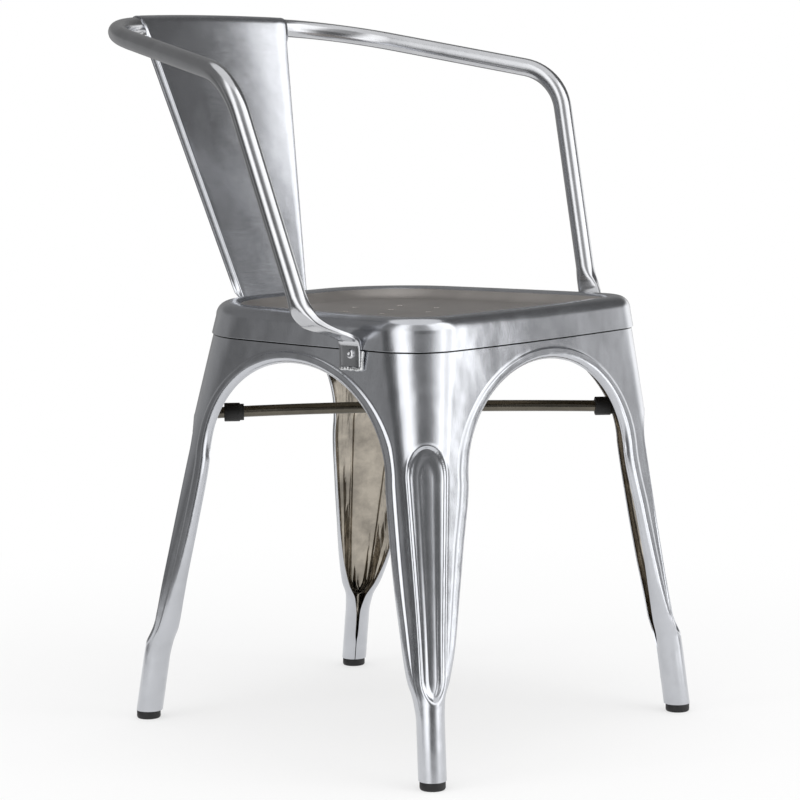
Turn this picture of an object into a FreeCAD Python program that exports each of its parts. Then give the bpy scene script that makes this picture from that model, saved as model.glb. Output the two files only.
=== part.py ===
import FreeCAD, Part

import math
import os

# Metal armchair of pressed sheet legs, a pressed seat and one bent tube
#
# Millimetres, +Z up. The origin is on the floor, in the middle of the overall
# box. The front of the chair faces -Y, and "right" is the sitter's right (-X).
# The chair is the same on both sides of the plane X = 0. Inside this file Y is
# measured from the middle of the seat, and save() moves it to the origin.
#
# Bends, rolls and round pieces are drawn with flats, as many as each one needs
# to read as round.

Vec = FreeCAD.Vector
UP = Vec(0.0, 0.0, 1.0)
FORWARD = Vec(0.0, -1.0, 0.0)

# Sheet and its gaps
ORIGIN_Y = 41.2          # from the middle of the seat to the middle of the box
SHEET = 1.2              # steel sheet of the legs, the seat and the backrest
SKIRT_GAP = 0.6          # between the legs and the inside of the seat's skirt
WRAP_GAP = 0.3           # between the tube and the sheet rolled round it
TAB_GAP = 0.1            # between the skirt and the arms' flat ends
SPLAT_GAP = 0.2          # between the skirt and the backrest's foot

# Legs
SEAM_Z = 403.0           # lower edge of the seat's skirt
LEG_TOP_Z = 417.0        # top of the legs, hidden inside the skirt
FOOT_TUBE_D = 26.7       # rolled tube at the bottom of each leg
TUBE_BOTTOM_Z = 8.5      # lower end of that tube, on its glide
FRONT_FOOT = (199.8, -195.1)     # axis of the front foot at the floor
REAR_FOOT = (161.4, 220.4)       # axis of the rear foot at the floor
FRONT_CORNER = (181.6, -169.2)   # sharp corner of the legs at the seam, front
REAR_CORNER = (150.0, 169.2)     # sharp corner of the legs at the seam, rear
TURN_Z = (70.0, 160.0)   # the side wing turns from straight back to its slant here
SIDE_BOW = 7.2           # bulge of all four sides at the seam
BOW_Z = 120.0            # height where that bulge begins

ARCH_SPRING_Z = 280.0    # height where the arches start to close
ARCH_HALF = 133.5        # half width of the front and side arches there
ARCH_RISE = 110.8        # from there to the crown
REAR_ARCH_HALF = 104.0   # half width of the arch between the rear legs
SIDE_ARCH_Y = -2.0       # middle of the side arches, where the legs meet

# Long recess pressed into the corner of each leg, with rounded ends
FLUTE_TOP_Z = 317.0
FLUTE_BOTTOM_Z = 81.0
FLUTE_ROUND_Z = (100.0, 285.0)   # the rounded ends begin here
FLUTE_HALF = (12.5, 20.0)        # half width at those two heights
FLUTE_DEPTH = 5.0
FLUTE_WALL = 5.5                 # width of the recess's sloping wall

# Each station holds the height, the corner radius, the width of the front or
# rear wing and of the side wing up to the rolled edge, and the roll's radius
# and angle. At the foot the two rolls close to a tube.
TUBE_R = FOOT_TUBE_D / 2.0
FRONT_STATIONS = (
    (0.0, TUBE_R, TUBE_R, TUBE_R, TUBE_R, 134.0),
    (31.0, TUBE_R, TUBE_R, TUBE_R, TUBE_R, 134.0),
    (40.0, TUBE_R, TUBE_R, TUBE_R, TUBE_R, 129.5),
    (62.0, TUBE_R, TUBE_R, TUBE_R, TUBE_R, 128.0),
    (82.0, 14.5, 15.0, 17.0, 12.8, 122.0),
    (100.0, 20.0, 23.7, 25.0, 11.0, 116.0),
    (130.0, 22.0, 33.0, 32.0, 9.0, 106.0),
    (175.0, 26.0, 41.3, 39.2, 7.5, 95.0),
    (220.0, 30.0, 48.6, 43.3, 7.0, 90.0),
    (280.0, 34.0, 57.7, 45.7, 7.0, 88.0),
    (403.0, 45.0, 57.7, 45.7, 7.0, 88.0),
    (650.0, 67.0, 57.7, 45.7, 7.0, 88.0),
)
REAR_STATIONS = (
    (0.0, TUBE_R, TUBE_R, TUBE_R, TUBE_R, 134.0),
    (31.0, TUBE_R, TUBE_R, TUBE_R, TUBE_R, 134.0),
    (40.0, TUBE_R, TUBE_R, TUBE_R, TUBE_R, 129.5),
    (62.0, TUBE_R, TUBE_R, TUBE_R, TUBE_R, 128.0),
    (82.0, 14.5, 15.0, 17.0, 12.8, 122.0),
    (100.0, 20.0, 24.0, 27.0, 11.0, 116.0),
    (130.0, 24.0, 32.0, 36.5, 9.0, 106.0),
    (175.0, 32.0, 40.0, 46.0, 7.5, 95.0),
    (220.0, 40.0, 47.0, 52.5, 7.0, 90.0),
    (280.0, 52.0, 53.6, 57.4, 7.0, 88.0),
    (403.0, 85.0, 53.6, 57.4, 7.0, 88.0),
    (650.0, 150.0, 53.6, 57.4, 7.0, 88.0),
)

# Rows across a leg: heights below the arch, then angles round it. The rows'
# middle climbs by this much over those angles.
LEG_HEIGHTS = (-8.0, 31.0, 62.0, 74.0, 86.0, 101.0, 122.0, 152.0, 195.0, 240.0)
ARCH_ANGLES = (0.0, 10.0, 20.0, 32.0, 45.0, 60.0, 75.0, 91.0, 110.0)
ARCH_CORNER_LIFT = 180.0
ROLL_STEPS = 4                   # flats of one rolled edge

# Seat
RIM_ROLL = 14.0                  # radius of the rounded rim
RIM_FLAT = 2.0                   # level top of the rim
RIM_TOP_Z = 434.5
RIM_STEPS = 4
DISH_SLOPE = 28.0                # width of the slope from the rim to the floor
DISH_STEPS = 4
DISH_Z = 422.5                   # flat floor of the dished seat
SEAT_CORNER_STEPS = 7            # flats round one corner of the seat
HOLE_D = 8.0                     # drain holes: one in the middle, a ring round it
HOLE_RING_R = 49.0
HOLE_RING_COUNT = 6
HOLE_CENTRE_Y = 20.0
HOLE_STEPS = 10

# Tube of the arms and the back
RAIL_D = 19.0
RAIL_WALL = 1.5
RAIL_BACK = (279.0, 714.0)           # Y and Z of its axis at the middle of the back
RAIL_BACK_R = 640.0                  # flat curve behind the backrest, up to this X
RAIL_BACK_X = 99.0
RAIL_CORNER_R = 125.0
RAIL_ELBOW = (254.0, -1.0, 659.5)    # where arm and post would meet if not rounded
RAIL_ELBOW_R = 42.0
POST_FOOT = (225.0, -60.0, 443.0)    # end of the straight post
RAIL_STEPS = 16                      # flats round the tube
BORE_STEPS = 8                       # flats round its hidden inside

# Flattened end of the tube, riveted to the skirt
TAB_W = 26.0
TAB_T = 4.0
TAB_Y = -87.0
TAB_BOTTOM_Z = 387.0
TAB_RIVET_Z = 399.0
TAB_SQUARE = 3.0                     # how far the round section turns into a bar
# Where the end flattens: axis point, half width and half thickness
TAB_BEND = (
    ((221.0, -66.5, 425.5), 11.2, 6.0),
    ((214.0, -73.0, 419.5), 12.3, 3.8),
    ((204.5, -79.5, 416.3), 12.8, 2.6),
    ((194.0, -84.5, 414.0), 13.0, 2.1),
)

# Backrest
SPLAT_TOP_HALF = 109.0           # half widths of the sheet
SPLAT_FOOT_HALF = 48.0
SPLAT_FOOT_Z = 398.0
SPLAT_BEND_Z = 413.0             # where the sheet leaves the skirt and leans back
SPLAT_LEAN = 16.3                # degrees
SPLAT_FLANGE = 8.0               # folded back along both sides
SPLAT_COLUMNS = 6
SPLAT_ROWS = 4
SPLAT_WRAP_STEPS = 8             # flats of the top edge rolled round the tube
SPLAT_WRAP_ANGLE = 185.0
SPLAT_RIVET_X = 30.0
SPLAT_RIVET_Z = 407.5

# Crossed rods between the legs, and the black sleeves near their ends
BRACE_D = 11.5
BRACE_Z = 319.0
BRACE_RISE = 4.0                 # the first rod is bowed up, the second one down
BRACE_DROP = 7.6
BRACE_RINGS = 9
BRACE_WELD_D = 8.0
BRACE_WELD_H = 4.0
BUMPER_D = 19.0
BUMPER_L = 20.0
BUMPER_BORE = 12.2
BUMPER_INSET = 30.0              # from the leg's corner to the sleeve

# Rubber glides, rivets and the bead under each flat end
GLIDE_D = 24.6
GLIDE_EDGE = 2.0                 # rounding of the glide's lower edge
GLIDE_STEM = 14.0
GLIDE_STEM_D = 21.4
RIVET_D = 5.0
RIVET_HEAD_D = 9.5
RIVET_HEAD_H = 2.6
RIVET_TAIL_D = 8.0
RIVET_TAIL_H = 1.6
RIVET_PLAY = 0.1                 # a shank hole is wider than its shank by this
BEAD_L = 24.0
BEAD_D = 4.4
ROUND_STEPS = 16                 # flats round the glides, the rods and their sleeves
RIVET_STEPS = 10                 # flats round a rivet or a bead


def smooth(x):
    """Rise from 0 to 1 with level ends."""
    x = min(1.0, max(0.0, x))
    return x * x * (3.0 - 2.0 * x)


def along(stations, column, z):
    """Value of a station column at height z."""
    if z <= stations[0][0]:
        return stations[0][column]
    for low, high in zip(stations, stations[1:]):
        if z <= high[0]:
            part = (z - low[0]) / (high[0] - low[0])
            return low[column] + (high[column] - low[column]) * part
    return stations[-1][column]


def save(name, shape):
    """Write one node, moved from the seat's middle to the origin."""
    moved = shape.copy()
    moved.translate(Vec(0.0, -ORIGIN_Y, 0.0))
    moved.exportStep("parts/" + name + ".step")


def mirror_point(point):
    return Vec(-point.x, point.y, point.z)


def mirrored(shape):
    """The same piece on the other side of the chair."""
    return shape.mirror(Vec(0.0, 0.0, 0.0), Vec(1.0, 0.0, 0.0))


def both(shape):
    """The piece and its mirror image."""
    return [shape, mirrored(shape)]


def facets(lower, upper):
    """Flat triangles between two rows of points, split the short way."""
    faces = []
    for i in range(len(lower) - 1):
        a, b, c, d = lower[i], lower[i + 1], upper[i + 1], upper[i]
        if (c - a).Length < (d - b).Length:
            corners = ((a, b, c), (a, c, d))
        else:
            corners = ((a, b, d), (b, c, d))
        for triangle in corners:
            faces.append(Part.Face(Part.makePolygon(list(triangle) + [triangle[0]])))
    return faces


def solid_of(faces):
    """Solid inside a closed set of faces."""
    shell = Part.Shell(faces)
    shell.sewShape()
    solid = Part.Solid(shell)
    if solid.Volume < 0.0:
        solid.reverse()
    return solid.removeSplitter()


def sheet_solid(outer, inner):
    """Closed sheet between two skins, each given as rows of points."""
    faces = []
    for skin in (outer, inner):
        for lower, upper in zip(skin, skin[1:]):
            faces += facets(lower, upper)
    for end in (0, -1):
        faces += facets(outer[end], inner[end])
        faces += facets([row[end] for row in outer], [row[end] for row in inner])
    return solid_of(faces)


def closed_solid(rings, caps):
    """Solid through rings of points, with a flat fan over each of the caps."""
    faces = []
    for lower, upper in zip(rings, rings[1:]):
        faces += facets(lower + lower[:1], upper + upper[:1])
    for ring in caps:
        centre = sum(ring, Vec()) * (1.0 / len(ring))
        for first, second in zip(ring, ring[1:] + ring[:1]):
            faces.append(Part.Face(Part.makePolygon([centre, first, second, centre])))
    return solid_of(faces)


def circle_points(centre, side, other, radius, steps):
    turns = [2.0 * math.pi * i / steps for i in range(steps)]
    return [centre + side * (radius * math.cos(t)) + other * (radius * math.sin(t)) for t in turns]


def ring_round(centre, way, radius, steps=ROUND_STEPS):
    """Ring of points square to way."""
    side = way.cross(Vec(0.3, 1.0, 0.2)).normalize()
    return circle_points(centre, side, way.cross(side).normalize(), radius, steps)


def bar(start, end, diameter, steps):
    """Straight round bar between two points."""
    rings = [ring_round(point, (end - start).normalize(), diameter / 2.0, steps) for point in (start, end)]
    return closed_solid(rings, rings)


def leg_corner(front, z):
    """Sharp corner of the leg's two faces at height z, on the +X side."""
    foot = FRONT_FOOT if front else REAR_FOOT
    seam = FRONT_CORNER if front else REAR_CORNER
    floor_x = foot[0] + TUBE_R
    floor_y = foot[1] + math.copysign(TUBE_R, foot[1])
    part = z / SEAM_Z
    return floor_x + (seam[0] - floor_x) * part, floor_y + (seam[1] - floor_y) * part


def corner_offsets(s, radius):
    """Distances along both faces, at the length s from the corner's middle."""
    turn = math.pi / 4.0 - abs(s) / radius
    if turn > 0.0:
        p = radius * (1.0 - math.sin(turn))
        q = radius * (1.0 - math.cos(turn))
    else:
        p = radius - turn * radius
        q = 0.0
    return (p, q) if s > 0.0 else (q, p)


def bow_at(z):
    """Bulge of the sides at height z."""
    return SIDE_BOW * smooth((z - BOW_Z) / (SEAM_Z - BOW_Z))


def leg_base(front, s, z):
    """Point of the leg's face before its rolled edges and its flute.

    The length s runs over the corner, from the side wing (less than 0) to the
    front or rear wing.
    """
    stations = FRONT_STATIONS if front else REAR_STATIONS
    p, q = corner_offsets(s, along(stations, 1, z))
    x, y = leg_corner(front, z)
    other_x, other_y = leg_corner(not front, z)
    length = math.hypot(other_x - x, other_y - y)
    skew = smooth((z - TURN_Z[0]) / (TURN_Z[1] - TURN_Z[0])) * (other_x - x) / length
    inward = 1.0 if front else -1.0
    bow_x = bow_at(z) * 4.0 * (q / length) * (1.0 - q / length)
    bow_y = bow_at(z) * 4.0 * (p / (2.0 * x)) * (1.0 - p / (2.0 * x))
    return Vec(x - p + q * skew + bow_x,
               y + inward * (q * math.sqrt(1.0 - skew * skew) - bow_y), z)


def face_normal(front, s, z):
    """Outward normal of the leg's face."""
    step = 0.5
    by_s = leg_base(front, s + step, z) - leg_base(front, s - step, z)
    by_z = leg_base(front, s, z + step) - leg_base(front, s, z - step)
    normal = by_s.cross(by_z).normalize()
    if normal.dot(leg_base(front, s, z) - UP * z) < 0.0:
        return normal * -1.0
    return normal


def flute_body(z):
    """Half width of the flute between its ends, measured over the corner."""
    level = min(max(z, FLUTE_BOTTOM_Z), FLUTE_TOP_Z)
    part = (level - FLUTE_ROUND_Z[0]) / (FLUTE_ROUND_Z[1] - FLUTE_ROUND_Z[0])
    return FLUTE_HALF[0] + (FLUTE_HALF[1] - FLUTE_HALF[0]) * part


def flute_depth(s, z):
    """Depth of the recess, with its rounded ends and its sloping wall."""
    low, high = FLUTE_ROUND_Z
    end = max(0.0, (z - high) / (FLUTE_TOP_Z - high), (low - z) / (low - FLUTE_BOTTOM_Z))
    half = flute_body(z) * math.sqrt(max(0.0, 1.0 - end * end))
    return FLUTE_DEPTH * smooth((half - abs(s)) / FLUTE_WALL)


def wing_edge(front, wing, height, angle):
    """Start of the rolled edge of one wing: s, z and the way to the opening."""
    stations = FRONT_STATIONS if front else REAR_STATIONS
    if angle is None:
        radius = along(stations, 1, height)
        width = along(stations, 2 if wing > 0 else 3, height)
        return width - radius + math.pi * radius / 4.0, height, 1.0, 0.0
    turn = math.radians(angle)
    z = ARCH_SPRING_Z + ARCH_RISE * math.sin(turn)
    radius = along(stations, 1, z)
    x, y = leg_corner(front, z)
    half = ARCH_HALF
    if wing > 0:
        half = ARCH_HALF if front else REAR_ARCH_HALF
        width = x - half * math.cos(turn)
    else:
        width = abs(y - SIDE_ARCH_Y) - half * math.cos(turn)
    slope_s = math.cos(turn) / half
    slope_z = -math.sin(turn) / ARCH_RISE
    size = math.hypot(slope_s, slope_z)
    return width - radius + math.pi * radius / 4.0, z, slope_s / size, slope_z / size


def wing_columns(front, height, edge_s):
    """Lengths s from the flat of the wing to the floor of the flute.

    Where the wing is narrow they draw together, and keep their order.
    """
    radius = along(FRONT_STATIONS if front else REAR_STATIONS, 1, height)
    bend = min(math.pi * radius / 4.0, 0.92 * edge_s)
    hollow = min(flute_body(height), 0.85 * bend)
    brim = min(hollow + 1.0, 0.95 * bend)
    floor = hollow - min(FLUTE_WALL, 0.5 * hollow)
    return [0.5 * (edge_s + bend), bend, 0.5 * (bend + brim), brim, floor]


def wing_row(front, wing, height, angle):
    """Row over one wing, from the rolled edge to the flute: outer and inner skin."""
    stations = FRONT_STATIONS if front else REAR_STATIONS
    edge_s, edge_z, way_s, way_z = wing_edge(front, wing, height, angle)
    if angle is not None:
        height = ARCH_SPRING_Z + ARCH_CORNER_LIFT * angle / ARCH_ANGLES[-1]
    roll = along(stations, 4, edge_z)
    sweep = math.radians(along(stations, 5, edge_z))
    start = leg_base(front, wing * edge_s, edge_z)
    outward = face_normal(front, wing * edge_s, edge_z)
    way = (leg_base(front, wing * (edge_s + way_s), edge_z + way_z) - start).normalize()
    outer, inner = [], []
    for step in range(ROLL_STEPS, -1, -1):
        psi = sweep * step / ROLL_STEPS
        point = start + way * (roll * math.sin(psi)) - outward * (roll * (1.0 - math.cos(psi)))
        outer.append(point)
        inner.append(point - (outward * math.cos(psi) + way * math.sin(psi)) * SHEET)
    for s in wing_columns(front, height, edge_s):
        z = height + (edge_z - height) * (s / edge_s) ** 2
        normal = face_normal(front, wing * s, z)
        point = leg_base(front, wing * s, z) - normal * flute_depth(s, z)
        outer.append(point)
        inner.append(point - normal * SHEET)
    return outer, inner


def leg_row(front, height, angle):
    """One row over the whole leg, as points of the outer and the inner skin."""
    side_outer, side_inner = wing_row(front, -1, height, angle)
    face_outer, face_inner = wing_row(front, 1, height, angle)
    if angle is not None:
        height = ARCH_SPRING_Z + ARCH_CORNER_LIFT * angle / ARCH_ANGLES[-1]
    normal = face_normal(front, 0.0, height)
    middle = leg_base(front, 0.0, height) - normal * flute_depth(0.0, height)
    outer = side_outer + [middle] + face_outer[::-1]
    inner = side_inner + [middle - normal * SHEET] + face_inner[::-1]
    return outer, inner


def make_leg(front):
    """Pressed sheet leg on the +X side, cut where it meets its neighbours."""
    rows = [leg_row(front, z, None) for z in LEG_HEIGHTS]
    rows += [leg_row(front, 0.0, angle) for angle in ARCH_ANGLES]
    blank = sheet_solid([row[0] for row in rows], [row[1] for row in rows])
    reach = 400.0
    corner = Vec(0.0, SIDE_ARCH_Y - reach if front else SIDE_ARCH_Y, TUBE_BOTTOM_Z)
    return blank.common(Part.makeBox(reach, reach, LEG_TOP_Z - TUBE_BOTTOM_Z, corner))


def seat_ring(z, inset):
    """Outline of the seat at height z, drawn in from the legs' outer faces.

    Its lean, the same as the legs', ends where the rim's roll begins.
    """
    lean_z = min(z, RIM_TOP_Z - RIM_ROLL)
    half = []
    for front in (True, False):
        radius = along(FRONT_STATIONS if front else REAR_STATIONS, 1, lean_z)
        bend = math.pi * radius / 4.0
        x, y = leg_corner(front, lean_z)
        other_x, other_y = leg_corner(not front, lean_z)
        reach_x = x - radius + bend
        reach_y = 0.5 * math.hypot(other_x - x, other_y - y) - radius + bend
        marks = [-0.4 * bend - 0.6 * reach_y]
        marks += [bend * (2.0 * i / SEAT_CORNER_STEPS - 1.0) for i in range(SEAT_CORNER_STEPS + 1)]
        marks += [0.5 * (bend + reach_x), reach_x]
        points = []
        for s in marks:
            normal = face_normal(front, s, lean_z)
            point = leg_base(front, s, lean_z) - Vec(normal.x, normal.y, 0.0).normalize() * inset
            points.append(Vec(point.x, point.y, z))
        half += points[::-1] if front else points
    return half + [mirror_point(point) for point in half[-2:0:-1]]


def seat_profile():
    """Inset and height along the seat's section, from the skirt to the dish."""
    roll_z = RIM_TOP_Z - RIM_ROLL
    profile = [(0.0, SEAM_Z)]
    for i in range(RIM_STEPS + 1):
        turn = 0.5 * math.pi * i / RIM_STEPS
        profile.append((RIM_ROLL * (1.0 - math.cos(turn)), roll_z + RIM_ROLL * math.sin(turn)))
    for i in range(DISH_STEPS + 1):
        part = i / DISH_STEPS
        profile.append((RIM_ROLL + RIM_FLAT + DISH_SLOPE * part,
                        RIM_TOP_Z - (RIM_TOP_Z - DISH_Z) * smooth(part)))
    return profile


def make_seat():
    """Pressed seat: skirt, rolled rim and dished floor with drain holes."""
    profile = [(inset - SHEET - SKIRT_GAP, z) for inset, z in seat_profile()]
    outer = [seat_ring(z, inset) for inset, z in profile]
    inner = []
    for i, (inset, z) in enumerate(profile):
        before, after = profile[max(i - 1, 0)], profile[min(i + 1, len(profile) - 1)]
        if i == len(profile) - 1:
            before = (inset - 1.0, z)
        size = math.hypot(after[0] - before[0], after[1] - before[1])
        along_inset, along_z = (after[0] - before[0]) / size, (after[1] - before[1]) / size
        inner.append(seat_ring(z - SHEET * along_inset, inset + SHEET * along_z))
    pan = closed_solid(outer, [outer[0], outer[-1]]).cut(closed_solid(inner, [inner[0], inner[-1]]))
    holes = [Vec(0.0, HOLE_CENTRE_Y, DISH_Z)]
    for i in range(HOLE_RING_COUNT):
        turn = 2.0 * math.pi * (i + 0.5) / HOLE_RING_COUNT
        holes.append(holes[0] + Vec(HOLE_RING_R * math.cos(turn), HOLE_RING_R * math.sin(turn), 0.0))
    return pan.cut([bar(hole - UP * 5.0, hole + UP * 5.0, HOLE_D, HOLE_STEPS) for hole in holes])


def rounded(corner_before, corner, corner_after, radius):
    """Tangent points and middle of the arc that rounds a corner of a path."""
    back = (corner_before - corner).normalize()
    ahead = (corner_after - corner).normalize()
    half = 0.5 * math.acos(back.dot(ahead))
    start = corner + back * (radius / math.tan(half))
    end = corner + ahead * (radius / math.tan(half))
    middle = corner + (back + ahead).normalize() * (radius / math.sin(half) - radius)
    return start, middle, end


def rail_level(x, y):
    """Point of the tilted plane that holds the back and the arms."""
    drop = (RAIL_BACK[1] - RAIL_ELBOW[2]) / (RAIL_BACK[0] - RAIL_ELBOW[1])
    return Vec(x, y, RAIL_BACK[1] - drop * (RAIL_BACK[0] - y))


def rail_axis(x):
    """Point of the tube's axis behind the backrest."""
    return rail_level(x, RAIL_BACK[0] - RAIL_BACK_R + math.sqrt(RAIL_BACK_R ** 2 - x * x))


def rail_path():
    """Axis of half the tube, from the left post's foot to the middle of the back.

    Each curve comes with the number of bands that it is drawn with.
    """
    lean = math.asin(RAIL_BACK_X / RAIL_BACK_R)
    start = rail_axis(RAIL_BACK_X)
    heading = (rail_level(start.x + 1.0, start.y - math.tan(lean)) - start).normalize()
    elbow = Vec(*RAIL_ELBOW)
    foot = Vec(*POST_FOOT)
    # The corner lies ahead of start, so far that the arc's tangent point is start
    low, high = 10.0, 200.0
    for step in range(60):
        reach = 0.5 * (low + high)
        corner = start + heading * reach
        tangent, middle, end = rounded(start - heading, corner, elbow, RAIL_CORNER_R)
        if (tangent - start).dot(heading) > 0.0:
            high = reach
        else:
            low = reach
    bend_start, bend_middle, bend_end = rounded(corner, elbow, foot, RAIL_ELBOW_R)
    return [(Part.LineSegment(foot, bend_end), 1),
            (Part.Arc(bend_end, bend_middle, bend_start), 5),
            (Part.LineSegment(bend_start, end), 1),
            (Part.Arc(end, middle, start), 5),
            (Part.Arc(start, rail_axis(0.5 * RAIL_BACK_X), rail_axis(0.0)), 2)]


def tube_rings(path, radius, steps):
    """Rings of points along the path, turned with it and never twisted."""
    side = FORWARD
    rings = []
    for curve, bands in path:
        edge = curve.toShape()
        for i in range(1 if rings else 0, bands + 1):
            at = edge.FirstParameter + (edge.LastParameter - edge.FirstParameter) * i / bands
            way = edge.tangentAt(at)
            side = (side - way * way.dot(side)).normalize()
            rings.append(circle_points(edge.valueAt(at), side, side.cross(way), radius, steps))
    return rings


def tab_rings(face_x):
    """Rings from the flat tab on the skirt up to the round post, on the +X side."""
    radius = RAIL_D / 2.0
    half_w, half_t = TAB_W / 2.0, TAB_T / 2.0
    foot = Vec(*POST_FOOT)
    fall = (foot - Vec(*RAIL_ELBOW)).normalize()
    flat_x = face_x + half_t
    stations = [(foot, radius, radius), (foot + fall * radius, 9.9, 8.6)]
    stations += [(Vec(*point), wide, thick) for point, wide, thick in TAB_BEND]
    stations += [(Vec(flat_x + out, TAB_Y, z), half_w, half_t)
                 for out, z in ((3.2, 411.6), (0.8, 407.5), (0.0, 402.5), (0.0, TAB_BOTTOM_Z))]
    rings = []
    for i, (centre, wide, thick) in enumerate(stations):
        if i == 0:
            way = fall
        else:
            way = (stations[min(i + 1, len(stations) - 1)][0] - stations[i - 1][0]).normalize()
        side = (FORWARD - way * way.dot(FORWARD)).normalize()
        face = way.cross(side)
        power = 2.0 + TAB_SQUARE * min(1.0, (radius - thick) / (radius - half_t))
        ring = []
        for k in range(RAIL_STEPS):
            turn = 2.0 * math.pi * k / RAIL_STEPS
            c, s = math.cos(turn), math.sin(turn)
            size = (abs(c) ** power + abs(s) ** power) ** (-1.0 / power)
            ring.append(centre + side * (wide * c * size) + face * (thick * s * size))
        rings.append(ring)
    return rings[::-1]


def whole_rail(rings):
    """Solid through the rings of the left half and their mirror image."""
    other = [[mirror_point(point) for point in ring] for ring in rings[:-1]]
    rings = rings + other[::-1]
    return closed_solid(rings, [rings[0], rings[-1]])


def make_rail(face_x):
    """One tube: back, arms and posts, with both ends pressed flat."""
    path = rail_path()
    tube = tab_rings(face_x)[:-1] + tube_rings(path, RAIL_D / 2.0, RAIL_STEPS)
    bore = tube_rings(path, RAIL_D / 2.0 - RAIL_WALL, BORE_STEPS)
    return whole_rail(tube).cut(whole_rail(bore))


def skirt_x(y, z):
    """Outer face of the skirt on the +X side."""
    front_x, front_y = leg_corner(True, z)
    rear_x, rear_y = leg_corner(False, z)
    part = (y - front_y) / (rear_y - front_y)
    face = front_x + (rear_x - front_x) * part + SIDE_BOW * 4.0 * part * (1.0 - part)
    return face + SKIRT_GAP + SHEET


def splat_y(x, z):
    """Front face of the backrest's foot, on the back of the skirt."""
    corner_x, corner_y = leg_corner(False, z)
    return corner_y + bow_at(z) * (1.0 - (x / corner_x) ** 2) + SKIRT_GAP + SHEET + SPLAT_GAP


def splat_column(part, depth):
    """Points up the sheet at part of its half width, depth behind its front."""
    foot_x = part * SPLAT_FOOT_HALF
    top_x = part * SPLAT_TOP_HALF
    axis = rail_axis(top_x)
    roll = RAIL_D / 2.0 + WRAP_GAP + SHEET - depth
    tangent = math.radians(180.0 - SPLAT_LEAN)
    low = Vec(foot_x, splat_y(foot_x, SPLAT_BEND_Z) + depth, SPLAT_BEND_Z)
    high = Vec(top_x, axis.y + roll * math.cos(tangent), axis.z + roll * math.sin(tangent))
    column = [Vec(foot_x, splat_y(foot_x, SPLAT_FOOT_Z) + depth, SPLAT_FOOT_Z)]
    column += [low + (high - low) * (i / SPLAT_ROWS) for i in range(SPLAT_ROWS + 1)]
    for i in range(1, SPLAT_WRAP_STEPS + 1):
        turn = tangent - math.radians(SPLAT_WRAP_ANGLE) * i / SPLAT_WRAP_STEPS
        column.append(Vec(top_x, axis.y + roll * math.cos(turn), axis.z + roll * math.sin(turn)))
    return column


def make_splat():
    """Backrest: a tapered sheet rolled over the tube, with folded sides."""
    skins = []
    for depth in (0.0, SHEET):
        columns = [splat_column(2.0 * i / SPLAT_COLUMNS - 1.0, depth) for i in range(SPLAT_COLUMNS + 1)]
        skins.append([list(row) for row in zip(*columns)])
    sheet = sheet_solid(skins[0], skins[1])
    # The fold starts inside the sheet, a hair in from its edge, and its two
    # ends are cut on a slant
    edge = [point + Vec(-0.1, 0.5 * SHEET, 0.0) for point in splat_column(1.0, 0.0)[1:SPLAT_ROWS + 2]]
    back = Vec(0.0, SPLAT_FLANGE, 0.0)
    deep = [point + back for point in edge]
    deep[0] = edge[0] + (edge[1] - edge[0]) * 0.3 + back
    deep[-1] = edge[-1] + (edge[-2] - edge[-1]) * 0.3 + back
    wall = Vec(-SHEET, 0.0, 0.0)
    fold = sheet_solid([[a, b] for a, b in zip(edge, deep)],
                       [[a + wall, b + wall] for a, b in zip(edge, deep)])
    return sheet.fuse(both(fold))


def make_glide(front):
    """Rubber glide on the +X side: a collar under the tube and a stem in it."""
    radius = GLIDE_D / 2.0
    stem = GLIDE_STEM_D / 2.0
    rings = []
    for z, size in ((0.0, radius - GLIDE_EDGE), (GLIDE_EDGE, radius), (TUBE_BOTTOM_Z, radius),
                    (TUBE_BOTTOM_Z, stem), (TUBE_BOTTOM_Z + GLIDE_STEM, stem)):
        x, y = leg_corner(front, z)
        rings.append(ring_round(Vec(x - TUBE_R, y - math.copysign(TUBE_R, y), z), UP, size))
    return closed_solid(rings, [rings[0], rings[-1]])


def brace_path(sign, rise):
    """Bowed axis from one front corner to the rear corner across from it.

    The second value is its highest or lowest point, over the middle of the
    chair, where the rods cross.
    """
    front_end = leg_base(True, 0.0, BRACE_Z)
    rear_end = leg_base(False, 0.0, BRACE_Z)
    start = Vec(sign * front_end.x, front_end.y, BRACE_Z)
    end = Vec(-sign * rear_end.x, rear_end.y, BRACE_Z)
    part = front_end.x / (front_end.x + rear_end.x)
    middle = start + (end - start) * part + UP * rise
    return Part.Arc(start, middle, end).toShape(), middle


def make_brace(path, legs):
    """One rod, its ends cut to the inside of the legs' corners."""
    rings = []
    for i in range(BRACE_RINGS):
        at = path.FirstParameter + (path.LastParameter - path.FirstParameter) * i / (BRACE_RINGS - 1)
        rings.append(ring_round(path.valueAt(at), path.tangentAt(at), BRACE_D / 2.0))
    brace = closed_solid(rings, [rings[0], rings[-1]])
    for leg in legs:
        brace = max(brace.cut(leg).Solids, key=lambda piece: piece.Volume)
    return brace


def make_bumper(path, at_front):
    """Sleeve on a rod, near one of its ends."""
    near = BUMPER_INSET if at_front else path.Length - BUMPER_INSET - BUMPER_L
    start = path.valueAt(path.getParameterByLength(near))
    end = path.valueAt(path.getParameterByLength(near + BUMPER_L))
    way = (end - start).normalize()
    outer_r, bore_r = BUMPER_D / 2.0, BUMPER_BORE / 2.0
    rings = [ring_round(start, way, outer_r), ring_round(end, way, outer_r),
             ring_round(end, way, bore_r), ring_round(start, way, bore_r)]
    return closed_solid(rings + rings[:1], [])


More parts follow.
